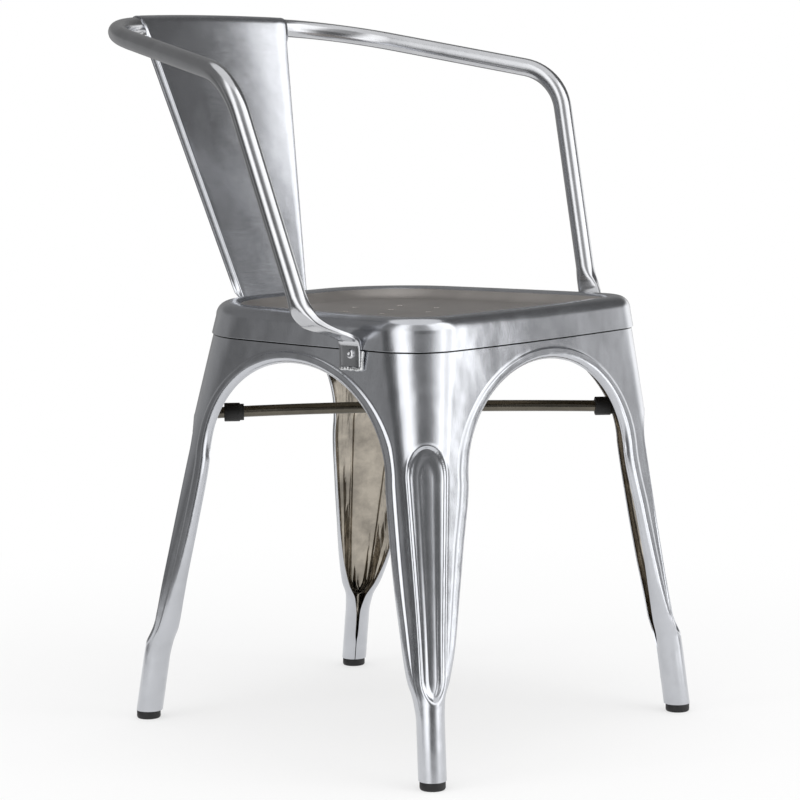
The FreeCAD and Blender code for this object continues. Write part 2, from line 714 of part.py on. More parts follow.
def rivet(tip, way, grip):
    """Rivet with a low head outside tip, its shank along way through the grip."""
    head, shank, tail = RIVET_HEAD_D / 2.0, RIVET_D / 2.0, RIVET_TAIL_D / 2.0
    rings = []
    for depth, radius in ((-RIVET_HEAD_H, 0.55 * head), (-0.45 * RIVET_HEAD_H, 0.9 * head), (0.0, head),
                          (0.0, shank), (grip, shank), (grip, tail), (grip + RIVET_TAIL_H, tail)):
        rings.append(ring_round(tip + way * depth, way, radius, RIVET_STEPS))
    return closed_solid(rings, [rings[0], rings[-1]])


def shank_hole(tip, way, grip):
    """Room for a rivet's shank, a little past both ends of its grip."""
    return bar(tip - way * 2.0, tip + way * (grip + 2.0), RIVET_D + RIVET_PLAY, RIVET_STEPS)


os.makedirs("parts", exist_ok=True)

# Rivets of the arms' tabs and of the backrest's foot. Each grips its sheets
# with a little play behind the last one.
tab_face = skirt_x(TAB_Y, SEAM_Z) + TAB_GAP
tab_tip = Vec(tab_face + TAB_T, TAB_Y, TAB_RIVET_Z)
tab_way = Vec(-1.0, 0.0, 0.0)
tab_grip = tab_tip.x - skirt_x(TAB_Y, TAB_RIVET_Z) + SKIRT_GAP + 2.0 * SHEET + 0.4
arm_rivet = rivet(tab_tip, tab_way, tab_grip)
tab_holes = both(shank_hole(tab_tip, tab_way, tab_grip))

splat_tip = Vec(SPLAT_RIVET_X, splat_y(SPLAT_RIVET_X, SPLAT_RIVET_Z) + SHEET, SPLAT_RIVET_Z)
splat_grip = SPLAT_GAP + SKIRT_GAP + 3.0 * SHEET + 0.2
splat_rivet = rivet(splat_tip, FORWARD, splat_grip)
splat_holes = both(shank_hole(splat_tip, FORWARD, splat_grip))

front_leg = make_leg(True).cut(tab_holes[0])
rear_leg = make_leg(False).cut(splat_holes[0])
legs = {"front_left": front_leg, "front_right": mirrored(front_leg),
        "rear_left": rear_leg, "rear_right": mirrored(rear_leg)}
for place, leg in legs.items():
    save("leg_" + place, leg)

for place, front in (("front", True), ("rear", False)):
    glide = make_glide(front)
    save("glide_" + place + "_left", glide)
    save("glide_" + place + "_right", mirrored(glide))

save("seat_pan", make_seat().cut(tab_holes + splat_holes))
save("arm_rail", make_rail(tab_face).cut(tab_holes))
save("back_splat", make_splat().cut(splat_holes))
save("arm_rivets", Part.makeCompound(both(arm_rivet)))
save("splat_rivets", Part.makeCompound(both(splat_rivet)))

# The upper rod runs from the front left leg, the lower one from the front right
upper_path, upper_middle = brace_path(1.0, BRACE_RISE)
lower_path, lower_middle = brace_path(-1.0, -BRACE_DROP)
upper_brace = make_brace(upper_path, legs.values())
lower_brace = make_brace(lower_path, legs.values())
save("brace_upper", upper_brace)
save("brace_lower", lower_brace)
save("bumper_front_left", make_bumper(upper_path, True))
save("bumper_rear_right", make_bumper(upper_path, False))
save("bumper_front_right", make_bumper(lower_path, True))
save("bumper_rear_left", make_bumper(lower_path, False))

# A bead under each tab, on the leg, and a small weld between the rods
bead_at = Vec(skirt_x(TAB_Y, TAB_BOTTOM_Z) - SKIRT_GAP - SHEET + 0.5 * BEAD_D,
              TAB_Y, TAB_BOTTOM_Z - 0.5 * BEAD_D - TAB_GAP)
bead = bar(bead_at + FORWARD * (0.5 * BEAD_L), bead_at - FORWARD * (0.5 * BEAD_L), BEAD_D, RIVET_STEPS)
crossing = 0.5 * (upper_middle + lower_middle)
weld_up = UP * (0.5 * BRACE_WELD_H)
weld = bar(crossing - weld_up, crossing + weld_up, BRACE_WELD_D, RIVET_STEPS).cut([upper_brace, lower_brace])
save("weld_beads", Part.makeCompound(both(bead) + [weld]))
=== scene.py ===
import math

import bmesh
import bpy
from mathutils import Matrix, Vector


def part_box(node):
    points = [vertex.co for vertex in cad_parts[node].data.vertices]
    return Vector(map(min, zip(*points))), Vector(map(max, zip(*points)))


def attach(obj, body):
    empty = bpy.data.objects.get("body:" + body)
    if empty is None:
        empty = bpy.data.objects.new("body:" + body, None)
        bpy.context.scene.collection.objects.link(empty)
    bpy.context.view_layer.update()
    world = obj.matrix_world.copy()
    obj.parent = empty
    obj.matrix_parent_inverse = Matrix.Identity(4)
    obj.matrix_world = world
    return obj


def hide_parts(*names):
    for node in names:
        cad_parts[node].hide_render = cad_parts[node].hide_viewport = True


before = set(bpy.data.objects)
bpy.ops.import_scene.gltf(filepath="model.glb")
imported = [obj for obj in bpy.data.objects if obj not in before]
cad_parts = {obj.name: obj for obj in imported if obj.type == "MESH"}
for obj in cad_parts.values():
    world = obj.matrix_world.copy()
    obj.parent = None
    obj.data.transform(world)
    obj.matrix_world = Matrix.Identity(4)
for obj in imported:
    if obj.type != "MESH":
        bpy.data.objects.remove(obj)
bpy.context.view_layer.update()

bl_info = {
    "name": "Pressed steel armchair",
    "version": (1, 0, 0),
    "blender": (4, 5, 0),
    "location": "View3D > Sidebar > Armchair",
    "description": "Dresses the fixed frame of a pressed steel stacking armchair",
    "category": "Object",
}

MM = 0.001

# Shapes are worked out in millimetres from the middle of the seat, on the
# sitter's left (+X), and put into the frame's metres by placed()
ORIGIN_Y = 41.2

FIT = 0.3
SEAM_Z = 403.0
LEG_TOP_Z = 417.0
TUBE_R = 13.35
TUBE_BOTTOM_Z = 8.5
FRONT_FOOT = (199.8, -195.1)
REAR_FOOT = (161.4, 220.4)
FRONT_CORNER = (181.6, -169.2)
REAR_CORNER = (150.0, 169.2)
SIDE_BOW = 7.2

ARCH_SPRING_Z = 280.0
ARCH_HALF = 133.5
ARCH_RISE = 110.8
REAR_ARCH_HALF = 104.0
SIDE_ARCH_Y = -2.0
ARCH_END = 112.0
ARCH_CORNER_LIFT = 184.0

FLUTE_TOP_Z = 317.0
FLUTE_TOP_L = 34.0
FLUTE_BOTTOM_Z = 81.0
FLUTE_BOTTOM_L = 22.0
FLUTE_WALL = 2.0
FLUTE_TOP_WALL = 2.6
FLUTE_BOTTOM_WALL = 5.0
FLUTE_STEP = 0.45
FLUTE_SHIFT = 4.0
LIP_W = 10.5
LIP_FLAT = 0.55

SKIRT_GAP = 0.6
RIM_ROLL = 14.0
RIM_TOP_Z = 434.5
DISH_Z = 422.5
HOLE_R = 4.0
HOLE_RING_R = 49.0
HOLE_CENTRE_Y = 20.0

RAIL_R = 9.5
RAIL_BACK = (279.0, 714.0)
RAIL_BACK_R = 640.0
RAIL_BACK_X = 99.0
RAIL_CORNER_R = 125.0
RAIL_ELBOW = (254.0, -1.0, 659.5)
RAIL_ELBOW_R = 58.0
POST_FOOT = (226.5, -56.9, 454.5)
TAB_T = 4.0
TAB_Y = -85.0
TAB_BOTTOM_Z = 387.0
TAB_RIVET_Z = 399.0

SPLAT_TOP_HALF = 109.0
SPLAT_FOOT_HALF = 48.0
SPLAT_FOOT_Z = 398.0
SPLAT_BEND_Z = 413.0
SPLAT_LEAN = 16.3
SPLAT_FLANGE = 8.0
SPLAT_SEAT = 0.2
SPLAT_WRAP_ANGLE = 185.0
SPLAT_RIVET = (30.0, 407.5)

BRACE_R = 5.75
BRACE_Z = 319.0
BRACE_RISE = 4.0
BRACE_DROP = 7.6
BUMPER_R = 9.5
BUMPER_L = 20.0
BUMPER_INSET = 30.0
GLIDE_R = 12.3

# Height, corner radius, width of the front or rear wing, width of the side
# wing, radius of the rolled edge and its angle in degrees
FRONT_STATIONS = (
    (-10.0, TUBE_R, TUBE_R, TUBE_R, TUBE_R, 134.0),
    (31.0, TUBE_R, TUBE_R, TUBE_R, TUBE_R, 134.0),
    (40.0, TUBE_R, TUBE_R, TUBE_R, TUBE_R, 129.5),
    (62.0, TUBE_R, TUBE_R, TUBE_R, TUBE_R, 128.0),
    (82.0, 14.5, 15.0, 17.0, 12.8, 122.0),
    (100.0, 20.0, 23.7, 25.0, 11.0, 116.0),
    (130.0, 22.0, 33.0, 32.0, 9.0, 106.0),
    (175.0, 26.0, 41.3, 39.2, 7.5, 95.0),
    (220.0, 30.0, 48.6, 43.3, 7.0, 90.0),
    (280.0, 34.0, 57.7, 45.7, 7.0, 88.0),
    (403.0, 45.0, 57.7, 45.7, 7.0, 88.0),
    (650.0, 67.0, 57.7, 45.7, 7.0, 88.0),
)
REAR_STATIONS = (
    (-10.0, TUBE_R, TUBE_R, TUBE_R, TUBE_R, 134.0),
    (31.0, TUBE_R, TUBE_R, TUBE_R, TUBE_R, 134.0),
    (40.0, TUBE_R, TUBE_R, TUBE_R, TUBE_R, 129.5),
    (62.0, TUBE_R, TUBE_R, TUBE_R, TUBE_R, 128.0),
    (82.0, 14.5, 15.0, 17.0, 12.8, 122.0),
    (100.0, 20.0, 24.0, 27.0, 11.0, 116.0),
    (130.0, 24.0, 32.0, 36.5, 9.0, 106.0),
    (175.0, 32.0, 40.0, 46.0, 7.5, 95.0),
    (220.0, 40.0, 47.0, 52.5, 7.0, 90.0),
    (280.0, 52.0, 53.6, 57.4, 7.0, 88.0),
    (403.0, 85.0, 53.6, 57.4, 7.0, 88.0),
    (650.0, 150.0, 53.6, 57.4, 7.0, 88.0),
)


def colour(code):
    """Linear colour of an sRGB hex code."""
    parts = [int(code[i:i + 2], 16) / 255.0 for i in (1, 3, 5)]
    return [p / 12.92 if p <= 0.04045 else ((p + 0.055) / 1.055) ** 2.4 for p in parts]


class ChairSizes(bpy.types.PropertyGroup):
    sheet: bpy.props.FloatProperty(
        name="Sheet", description="Thickness of the pressed sheet",
        default=1.2 * MM, min=0.5 * MM, max=2.0 * MM, unit="LENGTH", precision=4)
    lip: bpy.props.FloatProperty(
        name="Lip", description="Height of the raised border along the arches",
        default=1.8 * MM, min=0.0, max=3.0 * MM, unit="LENGTH", precision=4)
    flute: bpy.props.FloatProperty(
        name="Flute", description="Depth of the recess in each leg",
        default=5.0 * MM, min=0.0, max=8.0 * MM, unit="LENGTH", precision=4)
    bead: bpy.props.FloatProperty(
        name="Bead", description="Height of the crown round the recess",
        default=0.25 * MM, min=0.0, max=1.5 * MM, unit="LENGTH", precision=4)
    edge: bpy.props.FloatProperty(
        name="Edge", description="Rounding of cut sheet edges",
        default=0.3 * MM, min=0.05 * MM, max=0.6 * MM, unit="LENGTH", precision=4)


class ChairFinishes(bpy.types.PropertyGroup):
    sheet_steel: bpy.props.FloatVectorProperty(
        name="Sheet", description="Bare sheet under its clear coat",
        subtype="COLOR", size=3, default=colour("#C9CBD0"))
    inner_steel: bpy.props.FloatVectorProperty(
        name="Inside", description="Inner side of the sheet, unbrushed",
        subtype="COLOR", size=3, default=colour("#B9B1A4"))
    dish_steel: bpy.props.FloatVectorProperty(
        name="Dish", description="Dull dish of the seat",
        subtype="COLOR", size=3, default=colour("#B5B0AC"))
    rod_steel: bpy.props.FloatVectorProperty(
        name="Rod", description="Dark drawn rods of the brace",
        subtype="COLOR", size=3, default=colour("#6E695F"))
    tube_steel: bpy.props.FloatVectorProperty(
        name="Tube", description="Bent tube of the arms",
        subtype="COLOR", size=3, default=colour("#C8C9CC"))
    weld_steel: bpy.props.FloatVectorProperty(
        name="Weld", description="Ground weld metal",
        subtype="COLOR", size=3, default=colour("#D9DADB"))
    rubber: bpy.props.FloatVectorProperty(
        name="Rubber", description="Black glides and bumpers",
        subtype="COLOR", size=3, default=colour("#131314"))
    roughness: bpy.props.FloatProperty(
        name="Roughness", description="How far the brushed sheet spreads its highlights",
        default=0.2, min=0.0, max=1.0, subtype="FACTOR")


def placed(point, side=1.0):
    """A point in millimetres from the seat's middle, in the frame's metres."""
    return Vector((side * point.x, point.y - ORIGIN_Y, point.z)) * MM


def smooth(x):
    """Rise from 0 to 1 with level ends."""
    x = min(1.0, max(0.0, x))
    return x * x * (3.0 - 2.0 * x)


def along(stations, column, z):
    """Value at height z, on a smooth curve through the stations with no overshoot."""
    last = len(stations) - 1
    k = next((i for i in range(last) if z <= stations[i + 1][0]), last - 1)
    z = min(max(z, stations[0][0]), stations[last][0])

    def slope(i):
        if i <= 0 or i >= last:
            return 0.0
        before = (stations[i][column] - stations[i - 1][column]) / (stations[i][0] - stations[i - 1][0])
        after = (stations[i + 1][column] - stations[i][column]) / (stations[i + 1][0] - stations[i][0])
        return 0.0 if before * after <= 0.0 else 2.0 * before * after / (before + after)

    low, high = stations[k], stations[k + 1]
    span = high[0] - low[0]
    t = (z - low[0]) / span
    rise = smooth(t)
    bend_low = t * (1.0 - t) ** 2 * span * slope(k)
    bend_high = t * t * (t - 1.0) * span * slope(k + 1)
    return low[column] + (high[column] - low[column]) * rise + bend_low + bend_high


def leg_corner(front, z):
    """Sharp corner of the leg's two faces at height z."""
    foot = FRONT_FOOT if front else REAR_FOOT
    seam = FRONT_CORNER if front else REAR_CORNER
    floor_x = foot[0] + TUBE_R
    floor_y = foot[1] + math.copysign(TUBE_R, foot[1])
    part = z / SEAM_Z
    return floor_x + (seam[0] - floor_x) * part, floor_y + (seam[1] - floor_y) * part


def leg_face(front, s, z):
    """Point of the leg's face before its rolled edges and its flute."""
    radius = along(FRONT_STATIONS if front else REAR_STATIONS, 1, z)
    turn = math.pi / 4.0 - abs(s) / radius
    if turn > 0.0:
        p, q = radius * (1.0 - math.sin(turn)), radius * (1.0 - math.cos(turn))
    else:
        p, q = radius - turn * radius, 0.0
    if s <= 0.0:
        p, q = q, p
    x, y = leg_corner(front, z)
    other_x, other_y = leg_corner(not front, z)
    length = math.hypot(other_x - x, other_y - y)
    skew = smooth((z - 70.0) / 90.0) * (other_x - x) / length
    inward = 1.0 if front else -1.0
    bow = SIDE_BOW * smooth((z - 120.0) / (SEAM_Z - 120.0))
    bow_x = bow * 4.0 * (q / length) * (1.0 - q / length)
    bow_y = bow * 4.0 * (p / (2.0 * x)) * (1.0 - p / (2.0 * x))
    return Vector((x - p + q * skew + bow_x,
                   y + inward * (q * math.sqrt(1.0 - skew * skew) - bow_y), z))


def face_normal(front, s, z):
    """Outward normal of the leg's face."""
    step = 0.5
    by_s = leg_face(front, s + step, z) - leg_face(front, s - step, z)
    by_z = leg_face(front, s, z + step) - leg_face(front, s, z - step)
    normal = by_s.cross(by_z).normalized()
    return -normal if normal.dot(leg_face(front, s, z) - Vector((0.0, 0.0, z))) < 0.0 else normal


def flute_body(z):
    """Half width of the flute between its ends."""
    return 12.5 + 7.5 * (min(max(z, 80.0), 300.0) - 100.0) / 185.0


def flute_relief(s, z, depth, bead):
    """Height of the face at this point of the flute: its recess and its crown."""
    top_start = FLUTE_TOP_Z - FLUTE_TOP_L
    bottom_start = FLUTE_BOTTOM_Z + FLUTE_BOTTOM_L
    if z > top_start:
        reach, length, end_wall = z - top_start, FLUTE_TOP_L, FLUTE_TOP_WALL
    elif z < bottom_start:
        reach, length, end_wall = bottom_start - z, FLUTE_BOTTOM_L, FLUTE_BOTTOM_WALL
    else:
        reach, length, end_wall = 0.0, 1.0, FLUTE_WALL
    half = flute_body(z)
    across, over = (s / half) ** 2, (reach / length) ** 2
    slope = math.hypot(s / half ** 2, reach / length ** 2)
    if slope < 1e-6:
        return -depth
    inside = (1.0 - across - over) / (2.0 * slope)
    share = over / max(across + over, 1e-9)
    wall = FLUTE_WALL + (end_wall - FLUTE_WALL) * share
    crown = bead * math.exp(-((inside + 1.1) / 1.2) ** 2)
    hollow = FLUTE_STEP * smooth(inside / wall) + (1.0 - FLUTE_STEP) * smooth(inside / (1.05 * half))
    return crown - depth * hollow


def wing_edge(front, wing, angle, height):
    """Start of the rolled edge of one wing: s, z and the way to the opening."""
    stations = FRONT_STATIONS if front else REAR_STATIONS
    if angle <= 0.0:
        radius = along(stations, 1, height)
        width = along(stations, 2 if wing > 0 else 3, height)
        return width - radius + math.pi * radius / 4.0, height, 1.0, 0.0
    turn = math.radians(angle)
    z = ARCH_SPRING_Z + ARCH_RISE * math.sin(turn)
    radius = along(stations, 1, z)
    x, y = leg_corner(front, z)
    half = ARCH_HALF
    if wing > 0:
        half = ARCH_HALF if front else REAR_ARCH_HALF
        width = x - half * math.cos(turn)
    else:
        side = -1.0 if front else 1.0
        width = abs(y - SIDE_ARCH_Y - side * half * math.cos(turn))
    slope_s, slope_z = math.cos(turn) / half, -math.sin(turn) / ARCH_RISE
    size = math.hypot(slope_s, slope_z)
    return width - radius + math.pi * radius / 4.0, z, slope_s / size, slope_z / size


def steps(low, high, count):
    """Evenly spaced values from low up to, and without, high."""
    return [low + (high - low) * i / count for i in range(count)]


# Columns of one wing, from the free end of its roll to the leg's middle
ROLL_MARKS = [1.0 - part for part in steps(0.0, 1.0, 10)]
LIP_MARKS = [0.0, 0.2, 0.4, 0.5, 0.58, 0.66, 0.74, 0.82, 0.9]
FACE_MARKS = steps(0.0, 1.0, 16)
WALL_MARKS = steps(0.0, 1.0, 10)
FLOOR_MARKS = steps(0.0, 1.0, 9)

# Rows: heights below the arches, then angles round them
LEG_ROWS = ([(0.0, z) for z in steps(-2.0, 62.0, 16) + steps(62.0, 80.0, 7) + steps(80.0, 106.0, 18)
             + steps(106.0, ARCH_SPRING_Z, 36)]
            + [(a, ARCH_SPRING_Z) for a in steps(0.0, 19.0, 16) + steps(19.0, 25.0, 20)
               + steps(25.0, ARCH_END, 38) + [ARCH_END]])


def wing_points(front, wing, angle, height, sizes):
    """Points of one wing's row, from its free end to the leg's middle."""
    stations = FRONT_STATIONS if front else REAR_STATIONS
    edge_s, edge_z, way_s, way_z = wing_edge(front, wing, angle, height)
    if angle > 0.0:
        height = ARCH_SPRING_Z + ARCH_CORNER_LIFT * angle / ARCH_END
    roll = along(stations, 4, edge_z)
    sweep = math.radians(along(stations, 5, edge_z))
    radius = along(stations, 1, height)
    bend = min(math.pi * radius / 4.0, 0.92 * edge_s)
    shift = FLUTE_SHIFT if front else 0.0
    brim = min(flute_body(height) + 4.0 + wing * shift, 0.9 * bend)
    floor = max(brim - 4.0 - FLUTE_WALL, 0.3 * brim)
    lip_w = min(LIP_W, 0.5 * (edge_s - brim))
    lift = sizes.lip / MM * smooth((edge_z - 78.0) / 55.0) * lip_w / LIP_W
    outward = face_normal(front, wing * edge_s, edge_z)
    start = leg_face(front, wing * edge_s, edge_z)
    ahead = leg_face(front, wing * (edge_s + way_s), edge_z + way_z)
    way = (ahead - start).normalized()
    start = start + outward * lift
    points = []
    for mark in ROLL_MARKS:
        psi = sweep * mark
        points.append(start + way * (roll * math.sin(psi)) - outward * (roll * (1.0 - math.cos(psi))))
    marks = [(edge_s - lip_w * m, lift * (1.0 - smooth((m - LIP_FLAT) / (1.0 - LIP_FLAT)))) for m in LIP_MARKS]
    marks += [(edge_s - lip_w + (brim - edge_s + lip_w) * m, 0.0) for m in FACE_MARKS]
    marks += [(brim + (floor - brim) * m, 0.0) for m in WALL_MARKS]
    marks += [(floor * (1.0 - m), 0.0) for m in FLOOR_MARKS]
    for s, raised in marks:
        near = s / edge_s
        z = height + (edge_z - height) * near * near
        relief = flute_relief(wing * s - shift, z, sizes.flute / MM, sizes.bead / MM)
        points.append(leg_face(front, wing * s, z) + face_normal(front, wing * s, z) * (raised + relief))
    return points


def shaped_grid(rows, side=1.0, closed=False):
    """Mesh of a grid whose rows of points are given in millimetres."""
    bm = bmesh.new()
    across, up = len(rows[0]) - 1, len(rows) - 1
    bmesh.ops.create_grid(bm, x_segments=across, y_segments=up, size=1.0)
    for vert in bm.verts:
        i = round((vert.co.x + 1.0) * 0.5 * across)
        j = round((vert.co.y + 1.0) * 0.5 * up)
        vert.co = placed(rows[j][i], side)
    if closed:
        bmesh.ops.remove_doubles(bm, verts=bm.verts, dist=0.01 * MM)
    return bm


def cut(bm, point, normal):
    """Take away what lies beyond the plane."""
    everything = list(bm.verts) + list(bm.edges) + list(bm.faces)
    bmesh.ops.bisect_plane(bm, geom=everything, dist=0.001 * MM, plane_co=placed(point),
                           plane_no=normal, clear_outer=True)


def mirrored(bm):
    """The same mesh on the other side of the chair."""
    other = bm.copy()
    bmesh.ops.scale(other, vec=(-1.0, 1.0, 1.0), verts=other.verts)
    bmesh.ops.reverse_faces(other, faces=other.faces)
    return other


def outwards(bm, inside):
    """Turn the faces so that they look away from the inside point."""
    bmesh.ops.recalc_face_normals(bm, faces=bm.faces)
    face = max(bm.faces, key=lambda f: f.calc_area())
    if (face.calc_center_median() - placed(inside)).dot(face.normal) < 0.0:
        bmesh.ops.reverse_faces(bm, faces=bm.faces)


def finished(name, bm, materials, nodes=(), sheet=0.0, edge=0.0):
    """Object of the mesh, riding on the chair and standing for its nodes."""
    for face in bm.faces:
        face.smooth = True
    mesh = bpy.data.meshes.new(name)
    bm.to_mesh(mesh)
    bm.free()
    piece = bpy.data.objects.new(name, mesh)
    bpy.context.scene.collection.objects.link(piece)
    for material in materials:
        mesh.materials.append(material)
    if sheet > 0.0:
        wall = piece.modifiers.new("sheet", "SOLIDIFY")
        wall.thickness = sheet
        wall.offset = -1.0
        wall.material_offset = len(materials) - 1
    if edge > 0.0:
        rounding = piece.modifiers.new("edges", "BEVEL")
        rounding.width = edge
        rounding.segments = 2
        rounding.limit_method = "ANGLE"
        rounding.angle_limit = math.radians(50.0)
        rounding.harden_normals = True
    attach(piece, "root")
    if nodes:
        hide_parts(*nodes)
    return piece


def node(tree, kind, values=(), links=(), **settings):
    """One node with its settings, the values of its sockets and its links."""
    made = tree.nodes.new(kind)
    for key, value in settings.items():
        setattr(made, key, value)
    for key, value in dict(values).items():
        made.inputs[key].default_value = value
    for key, socket in dict(links).items():
        tree.links.new(socket, made.inputs[key])
    return made


def new_material(name):
    """Empty node material and its tree."""
    material = bpy.data.materials.new(name)
    material.use_nodes = True
    tree = material.node_tree
    tree.nodes.clear()
    return material, tree


def rgba(code):
    return (*code, 1.0)


def steel(name, base, roughness, grain, bump, swell, wave, coat, shade=0.9, seam=None):
    """Steel under a clear coat: fine grinding marks on a slightly wavy sheet.

    grain and swell are the sizes in millimetres, along X, Y and Z, of the
    grinding marks and of the sheet's waves. The marks are drawn about three
    times as coarse as the real grit, so that they show in the picture.
    """
    material, tree = new_material(name)
    place = node(tree, "ShaderNodeTexCoord").outputs["Object"]
    stretch = node(tree, "ShaderNodeMapping", {"Scale": [1.0 / (g * MM) for g in grain]}, {"Vector": place})
    marks = node(tree, "ShaderNodeTexNoise", {"Scale": 1.0, "Detail": 3.0, "Roughness": 0.6},
                 {"Vector": stretch.outputs["Vector"]})
    cloud = node(tree, "ShaderNodeTexNoise", {"Scale": 1.0 / (34.0 * MM), "Detail": 5.0, "Roughness": 0.6},
                 {"Vector": place})
    slow = node(tree, "ShaderNodeMapping", {"Scale": [1.0 / (g * MM) for g in swell]}, {"Vector": place})
    waves = node(tree, "ShaderNodeTexNoise", {"Scale": 1.0, "Detail": 2.0, "Roughness": 0.45},
                 {"Vector": slow.outputs["Vector"]})
    # Random mottle between shade times the colour and the colour itself; where shade is set low, as on the inner
    # sheet, the darker mottle is also painted shade.
    tone = node(tree, "ShaderNodeValToRGB", links={"Fac": cloud.outputs["Fac"]})
    tone.color_ramp.elements[0].position = 0.35
    tone.color_ramp.elements[0].color = rgba([shade * c for c in base])
    tone.color_ramp.elements[1].position = 0.65
    tone.color_ramp.elements[1].color = rgba(base)
    skin = tone.outputs["Color"]
    # Painted shadow: when seam is given, a band 1.4 mm tall about that height is darkened to 0.04 of the colour,
    # standing in for the shade under the seat skirt's lower edge.
    if seam:
        split = node(tree, "ShaderNodeSeparateXYZ", links={"Vector": place})
        line = node(tree, "ShaderNodeMath", {1: seam * MM, 2: 0.7 * MM}, {0: split.outputs["Z"]},
                    operation="COMPARE")
        skin = node(tree, "ShaderNodeMix", {"B": rgba([0.04 * c for c in base])},
                    {"Factor": line.outputs["Value"], "A": skin}, data_type="RGBA").outputs["Result"]
    worn = node(tree, "ShaderNodeMath", {1: 0.5}, {0: cloud.outputs["Fac"], 2: marks.outputs["Fac"]},
                operation="MULTIPLY_ADD")
    spread = node(tree, "ShaderNodeMapRange", {"From Min": 0.45, "From Max": 1.05,
                                               "To Min": roughness * 0.8, "To Max": roughness * 1.2},
                  {"Value": worn.outputs["Value"]})
    wavy = node(tree, "ShaderNodeBump", {"Strength": 1.0, "Distance": wave * MM}, {"Height": waves.outputs["Fac"]})
    raised = node(tree, "ShaderNodeBump", {"Strength": 1.0, "Distance": bump * MM},
                  {"Height": marks.outputs["Fac"], "Normal": wavy.outputs["Normal"]})
    shader = node(tree, "ShaderNodeBsdfPrincipled",
                  {"Metallic": 1.0, "Coat Weight": coat, "Coat Roughness": 0.1},
                  {"Base Color": skin, "Roughness": spread.outputs["Result"],
                   "Normal": raised.outputs["Normal"], "Coat Normal": wavy.outputs["Normal"]})
    node(tree, "ShaderNodeOutputMaterial", links={"Surface": shader.outputs["BSDF"]})
    return material


def black_rubber(base):
    """Moulded rubber: dull, with the fine grain of its mould."""
    material, tree = new_material("moulded_rubber")
    place = node(tree, "ShaderNodeTexCoord").outputs["Object"]
    grain = node(tree, "ShaderNodeTexNoise", {"Scale": 1.0 / (0.8 * MM), "Detail": 2.0}, {"Vector": place})
    tone = node(tree, "ShaderNodeMix", {"A": rgba(base), "B": rgba([1.6 * c for c in base])},
                {"Factor": grain.outputs["Fac"]}, data_type="RGBA")
    raised = node(tree, "ShaderNodeBump", {"Strength": 0.3, "Distance": 0.1 * MM},
                  {"Height": grain.outputs["Fac"]})
    shader = node(tree, "ShaderNodeBsdfPrincipled", {"Roughness": 0.55},
                  {"Base Color": tone.outputs["Result"], "Normal": raised.outputs["Normal"]})
    node(tree, "ShaderNodeOutputMaterial", links={"Surface": shader.outputs["BSDF"]})
    return material


def finish(name):
    """The chair's material of that name, made when it is first asked for."""
    made = bpy.data.materials.get(name)
    if made:
        return made
    f = bpy.context.scene.chair_finishes
    if name == "brushed_sheet":
        # The seam mark on the legs is a painted shadow line just below the skirt's edge.
        return steel(name, list(f.sheet_steel), f.roughness, (0.9, 0.9, 10.0), 0.03, (45.0, 45.0, 60.0), 1.3, 0.2,
                     seam=SEAM_Z - 0.9)
    if name == "level_brushed_sheet":
        return steel(name, list(f.sheet_steel), f.roughness, (14.0, 14.0, 0.9), 0.03, (60.0, 60.0, 60.0), 0.5, 0.1)
    if name == "matt_dish":
        return steel(name, list(f.dish_steel), 0.42, (8.0, 0.8, 8.0), 0.01, (60.0, 60.0, 60.0), 0.3, 0.05)
    if name == "shaded_inner_sheet":
        # Partly painted shade: the mottle is random tone, and its dark end at 0.45 of the colour darkens the
        # insides of the legs and the seat's underside, where shade falls.
        return steel(name, list(f.inner_steel), 0.16, (2.0, 2.0, 20.0), 0.01, (9.0, 9.0, 110.0), 0.8, 0.4, 0.45)
    if name == "satin_tube":
        return steel(name, list(f.tube_steel), 0.19, (1.2, 1.2, 1.2), 0.03, (40.0, 40.0, 40.0), 0.3, 0.1)
    if name == "drawn_rod":
        return steel(name, list(f.rod_steel), 0.25, (2.0, 2.0, 2.0), 0.01, (30.0, 30.0, 30.0), 0.1, 0.2, 0.7)
    if name == "weld_metal":
        return steel(name, list(f.weld_steel), 0.3, (1.4, 1.4, 1.8), 0.1, (5.0, 5.0, 5.0), 0.2, 0.3)
    return black_rubber(list(f.rubber))


class CHAIR_OT_legs(bpy.types.Operator):
    """Four pressed legs with rolled edges, a raised lip and a flute"""
    bl_idname = "chair.legs"
    bl_label = "Legs"

    def execute(self, context):
        sizes = context.scene.chair_sizes
        for place, front in (("front", True), ("rear", False)):
            rows = []
            for angle, height in LEG_ROWS:
                side_wing = wing_points(front, -1, angle, height, sizes)
                face_wing = wing_points(front, 1, angle, height, sizes)
                middle_z = height if angle <= 0.0 else ARCH_SPRING_Z + ARCH_CORNER_LIFT * angle / ARCH_END
                shift = FLUTE_SHIFT if front else 0.0
                relief = flute_relief(-shift, middle_z, sizes.flute / MM, sizes.bead / MM)
                middle = leg_face(front, 0.0, middle_z) + face_normal(front, 0.0, middle_z) * relief
                rows.append(side_wing + [middle] + face_wing[::-1])
            leg = shaped_grid(rows)
            cut(leg, Vector((0.0, 0.0, TUBE_BOTTOM_Z)), (0.0, 0.0, -1.0))
            cut(leg, Vector((0.0, 0.0, LEG_TOP_Z)), (0.0, 0.0, 1.0))
            cut(leg, Vector((-0.25, 0.0, 0.0)), (-1.0, 0.0, 0.0))
            past = 0.25 if front else -0.25
            cut(leg, Vector((0.0, SIDE_ARCH_Y + past, 0.0)), (0.0, 1.0 if front else -1.0, 0.0))
            outwards(leg, Vector((0.0, 0.0, 300.0)))
            other = mirrored(leg)
            for side, bm in (("left", leg), ("right", other)):
                finished("pressed_leg_" + place + "_" + side, bm, [finish("brushed_sheet"), finish("shaded_inner_sheet")],
                         ["leg_" + place + "_" + side], sizes.sheet, sizes.edge)
        return {"FINISHED"}


